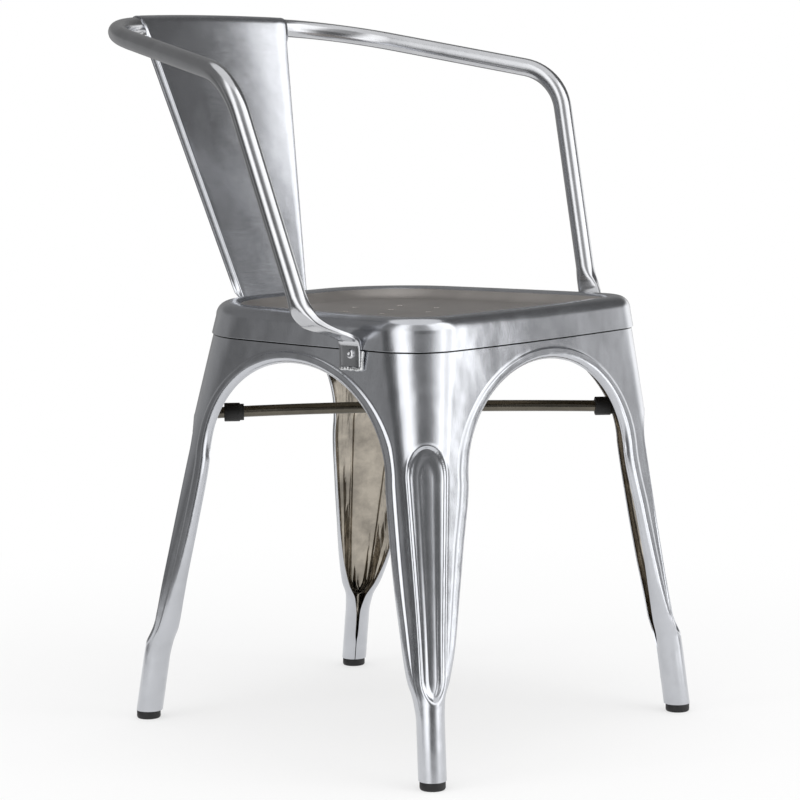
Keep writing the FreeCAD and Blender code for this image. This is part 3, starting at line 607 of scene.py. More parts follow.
def seat_outline(z, inset):
    """Outline of the seat at height z, drawn in from the legs' outer faces."""
    half = []
    for front in (True, False):
        stations = FRONT_STATIONS if front else REAR_STATIONS
        radius = along(stations, 1, z)
        bend = math.pi * radius / 4.0
        x, y = leg_corner(front, z)
        other_x, other_y = leg_corner(not front, z)
        length = math.hypot(other_x - x, other_y - y)
        reach_x, reach_y = x - radius + bend, 0.5 * length - radius + bend
        marks = steps(-reach_y, -bend, 9) + steps(-bend, bend, 30) + steps(bend, reach_x, 9) + [reach_x]
        if not front:
            marks = marks[1:]
        points = []
        for s in marks:
            normal = face_normal(front, s, z)
            level = Vector((normal.x, normal.y, 0.0)).normalized()
            points.append(leg_face(front, s, z) - level * inset)
        half.append(points)
    right_half = half[0][::-1] + half[1]
    other = [Vector((-p.x, p.y, p.z)) for p in right_half[1:-1]]
    return right_half + other[::-1]


def seat_profile(sheet):
    """Inset and height up the skirt, over the rim and down to the dish."""
    roll_z = RIM_TOP_Z - RIM_ROLL
    profile = [(0.0, SEAM_Z), (0.0, SEAM_Z + 2.0), (0.0, SEAM_Z + 8.0), (0.0, roll_z - 1.0)]
    for i in range(13):
        angle = math.pi / 2.0 * i / 12.0
        profile.append((RIM_ROLL * (1.0 - math.cos(angle)), roll_z + RIM_ROLL * math.sin(angle)))
    drop = RIM_TOP_Z - DISH_Z
    for i in range(1, 17):
        part = i / 16.0
        profile.append((RIM_ROLL + 2.0 + 30.0 * part, RIM_TOP_Z - drop * smooth(part)))
    return [(inset - sheet - SKIRT_GAP, z) for inset, z in profile]


class CHAIR_OT_seat(bpy.types.Operator):
    """Pressed seat with a rolled rim, a dish and drain holes"""
    bl_idname = "chair.seat"
    bl_label = "Seat"

    def execute(self, context):
        sizes = context.scene.chair_sizes
        rows = []
        for inset, z in seat_profile(sizes.sheet / MM):
            ring = seat_outline(min(z, RIM_TOP_Z - RIM_ROLL), inset)
            rows.append([Vector((p.x, p.y, z)) for p in ring + ring[:1]])
        bm = shaped_grid(rows, closed=True)
        floor_z = placed(Vector((0.0, 0.0, DISH_Z))).z
        rim = [e for e in bm.edges if e.is_boundary and all(abs(v.co.z - floor_z) < 0.01 * MM for v in e.verts)]
        centres = [(0.0, 0.0)] + [(HOLE_RING_R * math.cos(math.radians(60.0 * i + 30.0)),
                                   HOLE_RING_R * math.sin(math.radians(60.0 * i + 30.0))) for i in range(6)]
        holes = []
        for x, y in centres:
            where = Matrix.Translation(placed(Vector((x, y + HOLE_CENTRE_Y, DISH_Z))))
            made = bmesh.ops.create_circle(bm, segments=28, radius=HOLE_R * MM, matrix=where)
            holes += list({e for v in made["verts"] for e in v.link_edges})
        bmesh.ops.triangle_fill(bm, use_beauty=True, use_dissolve=False, edges=rim + holes, normal=(0.0, 0.0, 1.0))
        outwards(bm, Vector((0.0, 0.0, 380.0)))
        rim_z = placed(Vector((0.0, 0.0, RIM_TOP_Z - 3.0))).z
        for face in bm.faces:
            middle = face.calc_center_median()
            if middle.z < rim_z and face.normal.z > 0.85:
                face.material_index = 1
        finished("pressed_seat", bm, [finish("brushed_sheet"), finish("matt_dish"), finish("shaded_inner_sheet")],
                 ["seat_pan"],
                 sizes.sheet, sizes.edge)
        return {"FINISHED"}


def rail_level(x, y):
    """Point of the tilted plane that holds the back and the arms."""
    drop = (RAIL_BACK[1] - RAIL_ELBOW[2]) / (RAIL_BACK[0] - RAIL_ELBOW[1])
    return Vector((x, y, RAIL_BACK[1] - drop * (RAIL_BACK[0] - y)))


def bend_round(before, corner, after, radius, count):
    """Points of the arc that rounds a corner of a path."""
    back, ahead = (before - corner).normalized(), (after - corner).normalized()
    half = 0.5 * math.acos(back.dot(ahead))
    centre = corner + (back + ahead).normalized() * (radius / math.sin(half))
    first = corner + back * (radius / math.tan(half)) - centre
    axis = back.cross(ahead).normalized()
    turn = -(math.pi - 2.0 * half)
    points = []
    for i in range(count + 1):
        points.append(centre + Matrix.Rotation(turn * i / count, 3, axis) @ first)
    return points


def rail_points():
    """Axis of half the tube, from the left post's foot to the middle of the back."""
    lean = math.asin(RAIL_BACK_X / RAIL_BACK_R)
    drop_y = RAIL_BACK_R * (1.0 - math.cos(lean))
    start = rail_level(RAIL_BACK_X, RAIL_BACK[0] - drop_y)
    heading = (rail_level(start.x + 1.0, start.y - math.tan(lean)) - start).normalized()
    elbow, foot = Vector(RAIL_ELBOW), Vector(POST_FOOT)
    low, high = 10.0, 200.0
    for step in range(60):
        reach = 0.5 * (low + high)
        corner = start + heading * reach
        tangent = bend_round(start - heading * 50.0, corner, elbow, RAIL_CORNER_R, 1)[0]
        if (tangent - start).dot(heading) > 0.0:
            high = reach
        else:
            low = reach
    points = [foot + (elbow - foot) * (i / 8.0) for i in range(8)][:7]
    points += bend_round(foot, elbow, corner, RAIL_ELBOW_R, 14)
    points += bend_round(elbow, corner, start, RAIL_CORNER_R, 20)
    for i in range(1, 11):
        turn = lean * (1.0 - i / 10.0)
        points.append(rail_level(RAIL_BACK_R * math.sin(turn),
                                 RAIL_BACK[0] - RAIL_BACK_R * (1.0 - math.cos(turn))))
    return points


def skirt_x(y, z):
    """Outer face of the skirt on the +X side, at this Y."""
    front_x, front_y = leg_corner(True, z)
    rear_x, rear_y = leg_corner(False, z)
    part = (y - front_y) / (rear_y - front_y)
    return front_x + (rear_x - front_x) * part + SIDE_BOW * 4.0 * part * (1.0 - part) + SKIRT_GAP + 1.2


def tab_stations():
    """Axis point, half width and half thickness down the flattened end."""
    foot = Vector(POST_FOOT)
    fall = (foot - Vector(RAIL_ELBOW)).normalized()
    out_x = skirt_x(TAB_Y, SEAM_Z) + 0.1 + TAB_T / 2.0
    return [(foot, RAIL_R, RAIL_R),
            (foot + fall * 9.0, 9.9, 8.6),
            (Vector((223.6, -62.5, 438.5)), 10.6, 7.0),
            (Vector((219.5, -67.5, 431.0)), 11.4, 5.0),
            (Vector((212.5, -73.0, 425.5)), 12.3, 3.6),
            (Vector((203.5, -78.5, 421.0)), 12.8, 2.6),
            (Vector((194.0, -82.5, 417.0)), 13.0, 2.1),
            (Vector((out_x + 3.2, TAB_Y, 412.8)), 13.0, 2.0),
            (Vector((out_x + 0.8, TAB_Y, 408.5)), 13.0, 2.0),
            (Vector((out_x, TAB_Y, 402.5)), 13.0, 2.0),
            (Vector((out_x, TAB_Y, TAB_BOTTOM_Z)), 13.0, 2.0)]


def curve_through(values, k, t):
    """Smooth curve through a list of numbers or points, between items k and k + 1."""
    a, b = values[max(k - 1, 0)], values[k]
    c, d = values[k + 1], values[min(k + 2, len(values) - 1)]
    return 0.5 * (2.0 * b + (c - a) * t + (2.0 * a - 5.0 * b + 4.0 * c - d) * t * t
                  + (3.0 * b - a - 3.0 * c + d) * t ** 3)


TUBE_SIDES = 40


def tab_rings():
    """Rings from the round post to the flat tab, on the +X side."""
    stations = tab_stations()
    centres, widths, thicks = ([row[i] for row in stations] for i in range(3))
    fall = (centres[0] - Vector(RAIL_ELBOW)).normalized()
    line = []
    for k in range(len(stations) - 1):
        count = 5
        for i in range(count):
            t = i / count
            line.append((curve_through(centres, k, t), curve_through(widths, k, t), curve_through(thicks, k, t)))
    line.append(stations[-1])
    rings = []
    for i, (centre, half_w, half_t) in enumerate(line):
        before, after = line[max(i - 1, 0)][0], line[min(i + 1, len(line) - 1)][0]
        way = (after - before).normalized() if i else fall
        front_way = Vector((0.0, -1.0, 0.0))
        side = (front_way - way * way.dot(front_way)).normalized()
        face = way.cross(side)
        power = 2.0 + 6.0 * min(1.0, (RAIL_R - half_t) / (RAIL_R - 2.0))
        ring = []
        for k in range(TUBE_SIDES):
            turn = 2.0 * math.pi * k / TUBE_SIDES
            c, s = math.cos(turn), math.sin(turn)
            size = (abs(c) ** power + abs(s) ** power) ** (-1.0 / power)
            ring.append(centre + side * (half_w * c * size) + face * (half_t * s * size))
        rings.append(ring)
    return rings


class CHAIR_OT_rail(bpy.types.Operator):
    """One bent tube: the back, both arms and their flattened feet"""
    bl_idname = "chair.rail"
    bl_label = "Arm tube"

    def execute(self, context):
        rings = tab_rings()[::-1]
        line = rail_points()
        side = Vector((0.0, -1.0, 0.0))
        for i, centre in enumerate(line):
            if i == len(line) - 1:
                way = Vector((-1.0, 0.0, 0.0))
            else:
                way = (line[i + 1] - line[max(i - 1, 0)]).normalized()
            side = (side - way * way.dot(side)).normalized()
            other = side.cross(way)
            if i == 0:
                continue
            turns = [2.0 * math.pi * k / TUBE_SIDES for k in range(TUBE_SIDES)]
            rings.append([centre + side * (RAIL_R * math.cos(t)) + other * (RAIL_R * math.sin(t)) for t in turns])
        half = [ring + ring[:1] for ring in rings]
        other_half = [[Vector((-p.x, p.y, p.z)) for p in ring] for ring in half[:-1]]
        bm = shaped_grid(half + other_half[::-1], closed=True)
        bmesh.ops.holes_fill(bm, edges=[e for e in bm.edges if e.is_boundary], sides=0)
        bmesh.ops.recalc_face_normals(bm, faces=bm.faces)
        finished("bent_arm_tube", bm, [finish("satin_tube")], ["arm_rail"], edge=0.5 * MM)
        return {"FINISHED"}


def rail_axis(x):
    """Y and Z of the tube's axis behind the backrest."""
    point = rail_level(x, RAIL_BACK[0] - RAIL_BACK_R + math.sqrt(RAIL_BACK_R ** 2 - x * x))
    return point.y, point.z


def rear_face_y(x, z):
    """Outer face of the rear legs behind the seat."""
    corner_x, corner_y = leg_corner(False, z)
    bow = SIDE_BOW * smooth((z - 120.0) / (SEAM_Z - 120.0))
    return corner_y + bow * (1.0 - (x / corner_x) ** 2)


def splat_column(part, sheet):
    """Points up the front of the backrest, at part of its half width."""
    foot_x, top_x = part * SPLAT_FOOT_HALF, part * SPLAT_TOP_HALF
    back = SKIRT_GAP + sheet + SPLAT_SEAT
    column = [Vector((foot_x, rear_face_y(foot_x, z) + back, z)) for z in (SPLAT_FOOT_Z, 403.0, 408.0)]
    axis_y, axis_z = rail_axis(top_x)
    roll = RAIL_R + FIT + sheet
    tangent = math.radians(180.0 - SPLAT_LEAN)
    low = Vector((foot_x, rear_face_y(foot_x, SPLAT_BEND_Z) + back, SPLAT_BEND_Z))
    high = Vector((top_x, axis_y + roll * math.cos(tangent), axis_z + roll * math.sin(tangent)))
    column += [low + (high - low) * (i / 40.0) for i in range(41)]
    for i in range(1, 21):
        turn = tangent - math.radians(SPLAT_WRAP_ANGLE) * i / 20.0
        column.append(Vector((top_x, axis_y + roll * math.cos(turn), axis_z + roll * math.sin(turn))))
    return column


# The folded side edge: each step's length and its turn in degrees
FOLD = ([(0.4, 14.0)] * 5 + [(1.1, 0.0)] * 3 + [(0.4, 20.0)] * 2 + [(0.4, -20.0)] * 2 + [(0.9, 0.0)] * 2
        + [(0.4, 18.0)] * 4)
FOLD_INSET = 3.4
FOLD_FLAT = FOLD_INSET / sum(length for length, bend in FOLD)


class CHAIR_OT_backrest(bpy.types.Operator):
    """Tapered sheet rolled over the tube, with its sides folded back"""
    bl_idname = "chair.backrest"
    bl_label = "Backrest"

    def execute(self, context):
        sizes = context.scene.chair_sizes
        sheet = sizes.sheet / MM
        columns = [splat_column(-1.0 + i / 12.0, sheet) for i in range(25)]
        rows = []
        for j in range(len(columns[0])):
            row = [column[j] for column in columns]
            fade = smooth((j - 4) / 3.0) * smooth((42 - j) / 3.0)
            for end, outward in ((0, -1.0), (-1, 1.0)):
                inner = row[end] - Vector((outward * FOLD_INSET, 0.0, 0.0))
                fold = []
                place, turn = inner.copy(), 0.0
                for length, bend in FOLD:
                    turn += 0.5 * math.radians(bend) * fade
                    size = length * (FOLD_FLAT + (1.0 - FOLD_FLAT) * fade)
                    place = place + Vector((outward * math.cos(turn), math.sin(turn), 0.0)) * size
                    turn += 0.5 * math.radians(bend) * fade
                    fold.append(place)
                if end == 0:
                    row = fold[::-1] + [inner] + row[1:]
                else:
                    row = row[:-1] + [inner] + fold
            rows.append(row)
        bm = shaped_grid(rows)
        bmesh.ops.remove_doubles(bm, verts=bm.verts, dist=0.02 * MM)
        bmesh.ops.recalc_face_normals(bm, faces=bm.faces)
        widest = max(bm.faces, key=lambda f: f.calc_area())
        if widest.normal.y > 0.0:
            bmesh.ops.reverse_faces(bm, faces=bm.faces)
        finished("backrest_sheet", bm, [finish("level_brushed_sheet")], ["back_splat"],
                 sizes.sheet, sizes.edge)
        return {"FINISHED"}


def brace_axis(sign, rise):
    """Points of one crossed rod, from its front end to its rear end."""
    front_end, rear_end = leg_face(True, 0.0, BRACE_Z), leg_face(False, 0.0, BRACE_Z)
    start = Vector((sign * front_end.x, front_end.y, BRACE_Z))
    end = Vector((-sign * rear_end.x, rear_end.y, BRACE_Z))
    part = front_end.x / (front_end.x + rear_end.x)
    points = []
    for i in range(41):
        t = i / 40.0
        across = t / part if t < part else (1.0 - t) / (1.0 - part)
        points.append(start + (end - start) * t + Vector((0.0, 0.0, rise * (1.0 - (1.0 - across) ** 2))))
    return points


def turned(profile, start, way, segments=48):
    """Mesh of a profile of radius and height, spun about a line in metres."""
    bm = bmesh.new()
    verts = [bm.verts.new((radius * MM, 0.0, height * MM)) for radius, height in profile]
    edges = [bm.edges.new(pair) for pair in zip(verts, verts[1:])]
    bmesh.ops.spin(bm, geom=verts + edges, cent=(0.0, 0.0, 0.0), axis=(0.0, 0.0, 1.0),
                   angle=2.0 * math.pi, steps=segments, use_merge=True, use_duplicate=False)
    bmesh.ops.remove_doubles(bm, verts=bm.verts, dist=0.005 * MM)
    bmesh.ops.recalc_face_normals(bm, faces=bm.faces)
    turn = Vector((0.0, 0.0, 1.0)).rotation_difference(way).to_matrix().to_4x4()
    bmesh.ops.transform(bm, matrix=Matrix.Translation(start) @ turn, verts=bm.verts)
    return bm


def joined(parts):
    """One mesh of several."""
    bm = bmesh.new()
    for part in parts:
        mesh = bpy.data.meshes.new("part")
        part.to_mesh(mesh)
        part.free()
        bm.from_mesh(mesh)
        bpy.data.meshes.remove(mesh)
    return bm


class CHAIR_OT_braces(bpy.types.Operator):
    """Two crossed rods between the legs, and the black bumpers on them"""
    bl_idname = "chair.braces"
    bl_label = "Braces"

    def execute(self, context):
        for name, sign, rise in (("upper", 1.0, BRACE_RISE), ("lower", -1.0, -BRACE_DROP)):
            line = brace_axis(sign, rise)
            low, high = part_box("brace_" + name)
            inner = [p for p in line if low.y + 3.0 * MM < placed(p).y < high.y - 3.0 * MM]
            rings = []
            for i, centre in enumerate(inner):
                way = (inner[min(i + 1, len(inner) - 1)] - inner[max(i - 1, 0)]).normalized()
                side = way.cross(Vector((0.0, 0.0, 1.0))).normalized()
                other = side.cross(way)
                turns = [2.0 * math.pi * k / 32 for k in range(33)]
                rings.append([centre + side * (BRACE_R * math.cos(t)) + other * (BRACE_R * math.sin(t))
                              for t in turns])
            bm = shaped_grid(rings, closed=True)
            bmesh.ops.holes_fill(bm, edges=[e for e in bm.edges if e.is_boundary], sides=0)
            bmesh.ops.recalc_face_normals(bm, faces=bm.faces)
            finished("crossed_rod_" + name, bm, [finish("drawn_rod")], ["brace_" + name])
        for place in ("front_left", "front_right", "rear_left", "rear_right"):
            low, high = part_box("bumper_" + place)
            middle = (low + high) * 0.5
            sign = 1.0 if place in ("front_left", "rear_right") else -1.0
            line = brace_axis(sign, 0.0)
            way = (line[-1] - line[0]).normalized()
            half = BUMPER_L / 2.0
            neck = BUMPER_R - 1.1
            profile = [(6.0, -half), (neck - 0.6, -half), (neck - 0.1, -half + 0.2), (neck, -half + 0.7),
                       (neck, -half + 4.0), (BUMPER_R - 0.2, -half + 4.2), (BUMPER_R, -half + 4.8),
                       (BUMPER_R, half - 0.8), (BUMPER_R - 0.2, half - 0.2), (BUMPER_R - 0.8, half), (6.0, half),
                       (6.0, -half)]
            bm = turned(profile, middle, way)
            finished("rubber_bumper_" + place, bm, [finish("moulded_rubber")], ["bumper_" + place])
        return {"FINISHED"}


class CHAIR_OT_glides(bpy.types.Operator):
    """Black rubber glides under the rolled tubes of the legs"""
    bl_idname = "chair.glides"
    bl_label = "Glides"

    def execute(self, context):
        for place, front in (("front", True), ("rear", False)):
            for side_name, side in (("left", 1.0), ("right", -1.0)):
                x, y = leg_corner(front, 4.0)
                centre = placed(Vector((x - TUBE_R, y - math.copysign(TUBE_R, y), 0.0)), side)
                profile = [(0.0, 0.0), (GLIDE_R - 2.0, 0.0), (GLIDE_R - 1.0, 0.25), (GLIDE_R - 0.35, 0.9),
                           (GLIDE_R, 2.0), (GLIDE_R, 7.6), (GLIDE_R - 0.3, 8.2), (GLIDE_R - 0.8, TUBE_BOTTOM_Z),
                           (9.8, TUBE_BOTTOM_Z), (9.8, 14.0), (0.0, 14.0)]
                bm = turned(profile, centre, Vector((0.0, 0.0, 1.0)))
                name = place + "_" + side_name
                finished("rubber_glide_" + name, bm, [finish("moulded_rubber")], ["glide_" + name])
        return {"FINISHED"}


def rivet_head(tip, way):
    """Domed rivet head standing on tip, away from way."""
    profile = [(0.0, 1.4), (0.9, 1.5), (1.2, 2.3)]
    for i in range(3, 9):
        turn = math.pi / 2.0 * i / 8.0
        profile.append((4.3 * math.sin(turn) + 0.2, 0.6 + 2.0 * math.cos(turn)))
    profile += [(4.6, 0.3), (4.5, -0.1), (0.0, -0.1)]
    return turned(profile, tip, way)


class CHAIR_OT_fasteners(bpy.types.Operator):
    """Domed rivets of the arms' tabs and of the backrest's foot"""
    bl_idname = "chair.fasteners"
    bl_label = "Rivets"

    def execute(self, context):
        for name, way in (("arm_rivets", Vector((1.0, 0.0, 0.0))), ("splat_rivets", Vector((0.0, 1.0, 0.0)))):
            low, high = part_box(name)
            parts = []
            for side in (1.0, -1.0):
                if name == "arm_rivets":
                    tip = Vector((side * (high.x - 2.6 * MM), (low.y + high.y) / 2.0, (low.z + high.z) / 2.0))
                    parts.append(rivet_head(tip, way * side))
                else:
                    tip = Vector((side * SPLAT_RIVET[0] * MM, high.y - 2.6 * MM, (low.z + high.z) / 2.0))
                    parts.append(rivet_head(tip, way))
            finished("domed_" + name, joined(parts), [finish("satin_tube")], [name])
        return {"FINISHED"}


def lumpy_bead(start, end, radius, lumps):
    """Weld bead as a row of flattened, overlapping lumps."""
    bm = bmesh.new()
    for i in range(lumps):
        t = i / (lumps - 1.0)
        wander = Vector((0.25 * math.sin(7.0 * i), 0.0, 0.35 * math.cos(5.0 * i)))
        centre = placed(start + (end - start) * t + wander)
        size = radius * (0.86 + 0.14 * math.sin(3.1 * i)) * MM
        where = Matrix.Translation(centre) @ Matrix.Diagonal((size, 1.25 * size, size, 1.0))
        bmesh.ops.create_icosphere(bm, subdivisions=3, radius=1.0, matrix=where)
    return bm


class CHAIR_OT_welds(bpy.types.Operator):
    """Weld beads under the arms' tabs and where the rods cross"""
    bl_idname = "chair.welds"
    bl_label = "Welds"

    def execute(self, context):
        x = skirt_x(TAB_Y, TAB_BOTTOM_Z) + 0.6
        start = Vector((x, TAB_Y - 12.5, TAB_BOTTOM_Z - 2.2))
        end = Vector((x, TAB_Y + 12.5, TAB_BOTTOM_Z - 2.2))
        bead = lumpy_bead(start, end, 2.4, 15)
        up = lumpy_bead(end + Vector((0.0, -26.0, 0.0)), end + Vector((0.4, -27.5, 16.0)), 2.0, 8)
        y, z = rail_axis(SPLAT_TOP_HALF)
        roll = lumpy_bead(Vector((SPLAT_TOP_HALF - 0.5, y - 7.2, z - 6.8)),
                          Vector((SPLAT_TOP_HALF + 2.5, y - 5.2, z - 9.2)), 1.9, 5)
        bead = joined([bead, up, roll])
        other = mirrored(bead)
        crossing = bmesh.new()
        where = Matrix.Translation(placed(brace_axis(1.0, BRACE_RISE)[19] + Vector((0.0, 0.0, -BRACE_R))))
        bmesh.ops.create_icosphere(crossing, subdivisions=3, radius=3.2 * MM, matrix=where)
        finished("weld_lumps", joined([bead, other, crossing]), [finish("weld_metal")], ["weld_beads"])
        return {"FINISHED"}


# The photograph's camera, from the seat's middle in metres, and radians
CAMERA_PLACE = (-2.0799, -1.7610, 0.6560)
CAMERA_YAW = -0.8654
CAMERA_PITCH = 0.1186
CAMERA_ROLL = -0.0103
CAMERA_LENS = 121.48


def shown(tree):
    """1 for a ray of the camera, or one that metal or glass passes on from it."""
    path = node(tree, "ShaderNodeLightPath")
    pair = node(tree, "ShaderNodeMath", links={0: path.outputs["Is Camera Ray"], 1: path.outputs["Is Glossy Ray"]},
                operation="MAXIMUM")
    every = node(tree, "ShaderNodeMath", links={0: pair.outputs["Value"], 1: path.outputs["Is Transmission Ray"]},
                 operation="MAXIMUM")
    return every.outputs["Value"]


def floor_material():
    """Matt white floor. The camera sees it paler, and white away from the chair."""
    material, tree = new_material("matt_floor")
    place = node(tree, "ShaderNodeTexCoord").outputs["Object"]
    away = node(tree, "ShaderNodeVectorMath", links={0: place}, operation="LENGTH")
    fade = node(tree, "ShaderNodeMapRange", {"From Min": 0.25, "From Max": 1.1, "To Min": 0.6, "To Max": 1.0},
                {"Value": away.outputs["Value"]}, interpolation_type="SMOOTHSTEP")
    share = node(tree, "ShaderNodeMath", links={0: fade.outputs["Result"], 1: shown(tree)}, operation="MULTIPLY")
    matt = node(tree, "ShaderNodeBsdfPrincipled", {"Base Color": rgba(colour("#F2F2F2")), "Roughness": 1.0})
    white = node(tree, "ShaderNodeEmission", {"Strength": 1.0})
    mixed = node(tree, "ShaderNodeMixShader", links={0: share.outputs["Value"], 1: matt.outputs["BSDF"],
                                                     2: white.outputs["Emission"]})
    node(tree, "ShaderNodeOutputMaterial", links={"Surface": mixed.outputs["Shader"]})
    return material


def ramp_of(tree, share, levels):
    """Grey ramp round the studio, through the levels."""
    marks = sorted((((CAMERA_WAY + right + 180.0) % 360.0) / 360.0, level) for right, level in levels)
    seam = marks[0][1] + (marks[-1][1] - marks[0][1]) * marks[0][0] / (marks[0][0] + 1.0 - marks[-1][0])
    marks = [(0.0, seam)] + marks + [(1.0, seam)]
    ramp = node(tree, "ShaderNodeValToRGB", links={"Fac": share})
    elements = ramp.color_ramp.elements
    elements[1].position, elements[1].color = 1.0, rgba([seam] * 3)
    elements[0].position, elements[0].color = 0.0, rgba([seam] * 3)
    for position, level in marks[1:-1]:
        elements.new(position).color = rgba([level] * 3)
    return ramp.outputs["Color"]


def card_material():
    """Grey and white cards round the studio, which only the metal sees."""
    material, tree = new_material("studio_cards")
    place = node(tree, "ShaderNodeTexCoord").outputs["Object"]
    split = node(tree, "ShaderNodeSeparateXYZ", links={"Vector": place})
    angle = node(tree, "ShaderNodeMath", links={0: split.outputs["Y"], 1: split.outputs["X"]}, operation="ARCTAN2")
    share = node(tree, "ShaderNodeMapRange", {"From Min": -math.pi, "From Max": math.pi},
                 {"Value": angle.outputs["Value"]}).outputs["Result"]
    high = node(tree, "ShaderNodeMapRange", {"From Min": 1.15, "From Max": 1.9}, {"Value": split.outputs["Z"]})
    both = node(tree, "ShaderNodeMix", links={"Factor": high.outputs["Result"]}, data_type="RGBA")
    tree.links.new(ramp_of(tree, share, LOW_CARDS), both.inputs["A"])
    tree.links.new(ramp_of(tree, share, HIGH_CARDS), both.inputs["B"])
    light = node(tree, "ShaderNodeEmission", {"Strength": 1.0}, {"Color": both.outputs["Result"]})
    node(tree, "ShaderNodeOutputMaterial", links={"Surface": light.outputs["Emission"]})
    return material


# Brightness round the studio, low down and above the chair: degrees to the
# right of the camera, and level
CAMERA_WAY = math.degrees(math.atan2(CAMERA_PLACE[1], CAMERA_PLACE[0]))
CARD_START, CARD_RADIUS, CARD_TOP = 0.9, 5.0, 8.5
LOW_CARDS = ((-180.0, 0.2), (-150.0, 0.35), (-120.0, 0.3), (-100.0, 0.15), (-90.0, 0.25), (-84.0, 0.45),
             (-77.0, 0.14), (-62.0, 0.1), (-52.0, 0.25), (-44.0, 1.5), (-22.0, 2.1), (-12.0, 1.2), (-3.0, 0.2),
             (14.0, 0.14), (32.0, 0.3), (48.0, 1.3), (58.0, 2.3), (66.0, 1.5), (76.0, 1.4), (89.0, 2.6),
             (94.0, 0.3), (98.0, 0.22), (106.0, 0.55), (116.0, 0.9), (130.0, 1.5), (155.0, 1.1), (168.0, 0.25))
HIGH_CARDS = ((-180.0, 0.25), (-130.0, 0.2), (-100.0, 0.22), (-66.0, 0.22), (-52.0, 0.4), (-42.0, 1.6),
              (-22.0, 1.8), (-8.0, 0.5), (10.0, 0.4), (28.0, 0.6), (40.0, 1.7), (60.0, 1.8), (80.0, 2.0),
              (88.0, 2.2), (92.0, 1.6), (97.0, 0.3), (104.0, 0.14), (140.0, 0.12))


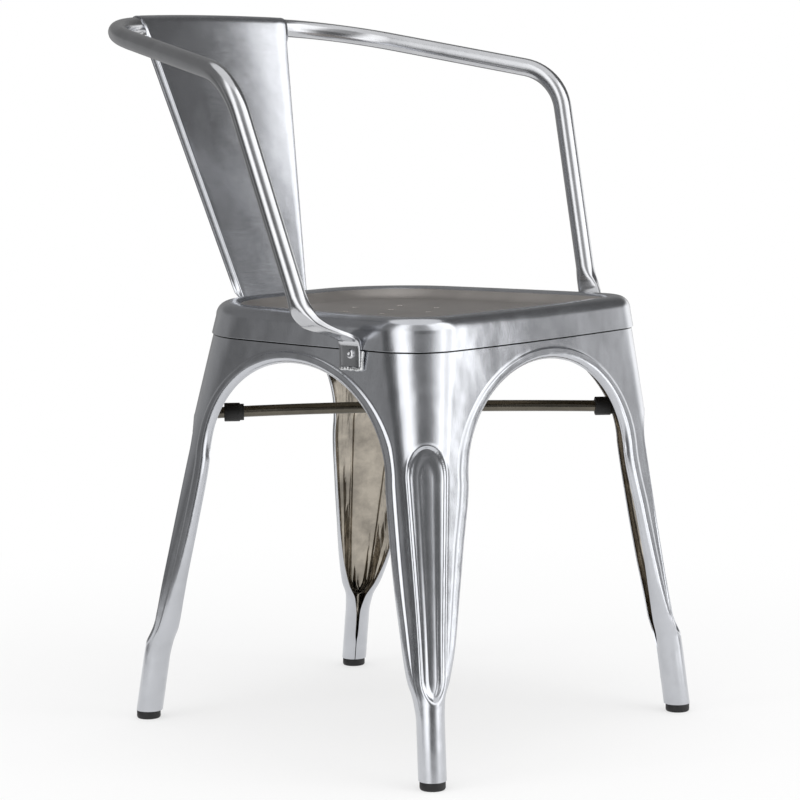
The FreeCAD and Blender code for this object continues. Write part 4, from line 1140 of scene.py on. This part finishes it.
class CHAIR_OT_stage(bpy.types.Operator):
    """Pale floor, soft lamps, cards and the camera"""
    bl_idname = "chair.stage"
    bl_label = "Stage"

    def execute(self, context):
        scene = context.scene
        bm = bmesh.new()
        bmesh.ops.create_grid(bm, x_segments=1, y_segments=1, size=30.0)
        mesh = bpy.data.meshes.new("floor")
        bm.to_mesh(mesh)
        bm.free()
        mesh.materials.append(floor_material())
        floor = bpy.data.objects.new("floor", mesh)
        scene.collection.objects.link(floor)

        bm = bmesh.new()
        bmesh.ops.create_circle(bm, segments=96, radius=CARD_START, cap_ends=False)
        for out, rise in ((CARD_RADIUS / CARD_START, 0.0), (1.0, CARD_TOP)):
            rim = [edge for edge in bm.edges if edge.is_boundary or edge.is_wire]
            rim = [edge for edge in rim if edge.verts[0].co.length > 0.9 * max(v.co.length for v in bm.verts)]
            made = bmesh.ops.extrude_edge_only(bm, edges=rim)
            moved = [item for item in made["geom"] if isinstance(item, bmesh.types.BMVert)]
            bmesh.ops.scale(bm, vec=(out, out, 1.0), verts=moved)
            bmesh.ops.translate(bm, vec=(0.0, 0.0, rise), verts=moved)
        bmesh.ops.translate(bm, vec=(0.0, 0.0, 0.002), verts=bm.verts)
        mesh = bpy.data.meshes.new("cards")
        bm.to_mesh(mesh)
        bm.free()
        mesh.materials.append(card_material())
        cards = bpy.data.objects.new("cards", mesh)
        scene.collection.objects.link(cards)
        cards.visible_camera = False
        cards.visible_diffuse = False
        cards.visible_transmission = False
        cards.visible_shadow = False

        for name, right, distance, height, wide, tall, power in LAMPS:
            data = bpy.data.lights.new(name, "AREA")
            data.shape = "RECTANGLE"
            data.size, data.size_y, data.energy = wide, tall, power
            lamp = bpy.data.objects.new(name, data)
            turn = math.radians(CAMERA_WAY + right)
            lamp.location = (distance * math.cos(turn), distance * math.sin(turn), height)
            aim = Vector((0.0, 0.0, 0.35)) - lamp.location
            lamp.rotation_euler = aim.to_track_quat("-Z", "Y").to_euler()
            lamp.visible_camera = False
            lamp.visible_glossy = False
            scene.collection.objects.link(lamp)

        world = bpy.data.worlds.new("studio")
        scene.world = world
        world.use_nodes = True
        tree = world.node_tree
        tree.nodes.clear()
        level = node(tree, "ShaderNodeMapRange", {"To Min": 0.8, "To Max": 1.0}, {"Value": shown(tree)})
        back = node(tree, "ShaderNodeBackground", {"Color": (1.0, 1.0, 1.0, 1.0)},
                    {"Strength": level.outputs["Result"]})
        node(tree, "ShaderNodeOutputWorld", links={"Surface": back.outputs["Background"]})

        data = bpy.data.cameras.new("camera")
        data.lens, data.sensor_width = CAMERA_LENS, 36.0
        camera = bpy.data.objects.new("camera", data)
        x, y, z = CAMERA_PLACE
        yaw, pitch, roll = CAMERA_YAW, CAMERA_PITCH, CAMERA_ROLL
        ahead = Vector((-math.sin(yaw) * math.cos(pitch), math.cos(yaw) * math.cos(pitch), -math.sin(pitch)))
        right = Vector((math.cos(yaw), math.sin(yaw), 0.0))
        up = right.cross(ahead)
        right_rolled = right * math.cos(roll) + up * math.sin(roll)
        up_rolled = up * math.cos(roll) - right * math.sin(roll)
        turn = Matrix((right_rolled, up_rolled, -ahead)).transposed().to_4x4()
        camera.matrix_world = Matrix.Translation((x, y - ORIGIN_Y * MM, z)) @ turn
        scene.collection.objects.link(camera)
        scene.camera = camera
        scene.view_settings.view_transform = "Standard"
        return {"FINISHED"}


# Name, degrees to the right of the camera, distance, height, width, height of the lamp, watts
LAMPS = (
    ("left_softbox", -56.0, 2.6, 1.3, 1.3, 2.0, 14.0),
    ("right_softbox", 60.0, 2.8, 1.3, 1.8, 2.0, 20.0),
    ("top_softbox", 20.0, 0.4, 2.6, 2.0, 1.4, 12.0),
)


class CHAIR_PT_panel(bpy.types.Panel):
    """Sizes, finishes and pieces of the armchair"""
    bl_idname = "CHAIR_PT_panel"
    bl_label = "Armchair"
    bl_space_type = "VIEW_3D"
    bl_region_type = "UI"
    bl_category = "Armchair"

    def draw(self, context):
        for group in (context.scene.chair_sizes, context.scene.chair_finishes):
            box = self.layout.box()
            for key in group.bl_rna.properties.keys():
                if key not in ("rna_type", "name"):
                    box.prop(group, key)
        for operator in OPERATORS:
            self.layout.operator(operator.bl_idname)


OPERATORS = (CHAIR_OT_legs, CHAIR_OT_seat, CHAIR_OT_rail, CHAIR_OT_backrest, CHAIR_OT_braces, CHAIR_OT_glides,
             CHAIR_OT_fasteners, CHAIR_OT_welds, CHAIR_OT_stage)
CLASSES = (ChairSizes, ChairFinishes) + OPERATORS + (CHAIR_PT_panel,)


def register():
    for item in CLASSES:
        bpy.utils.register_class(item)
    bpy.types.Scene.chair_sizes = bpy.props.PointerProperty(type=ChairSizes)
    bpy.types.Scene.chair_finishes = bpy.props.PointerProperty(type=ChairFinishes)


def unregister():
    del bpy.types.Scene.chair_finishes
    del bpy.types.Scene.chair_sizes
    for item in reversed(CLASSES):
        bpy.utils.unregister_class(item)


def main():
    register()
    for name in ("legs", "seat", "rail", "backrest", "braces", "glides", "fasteners", "welds", "stage"):
        getattr(bpy.ops.chair, name)()


if __name__ == "__main__":
    main()
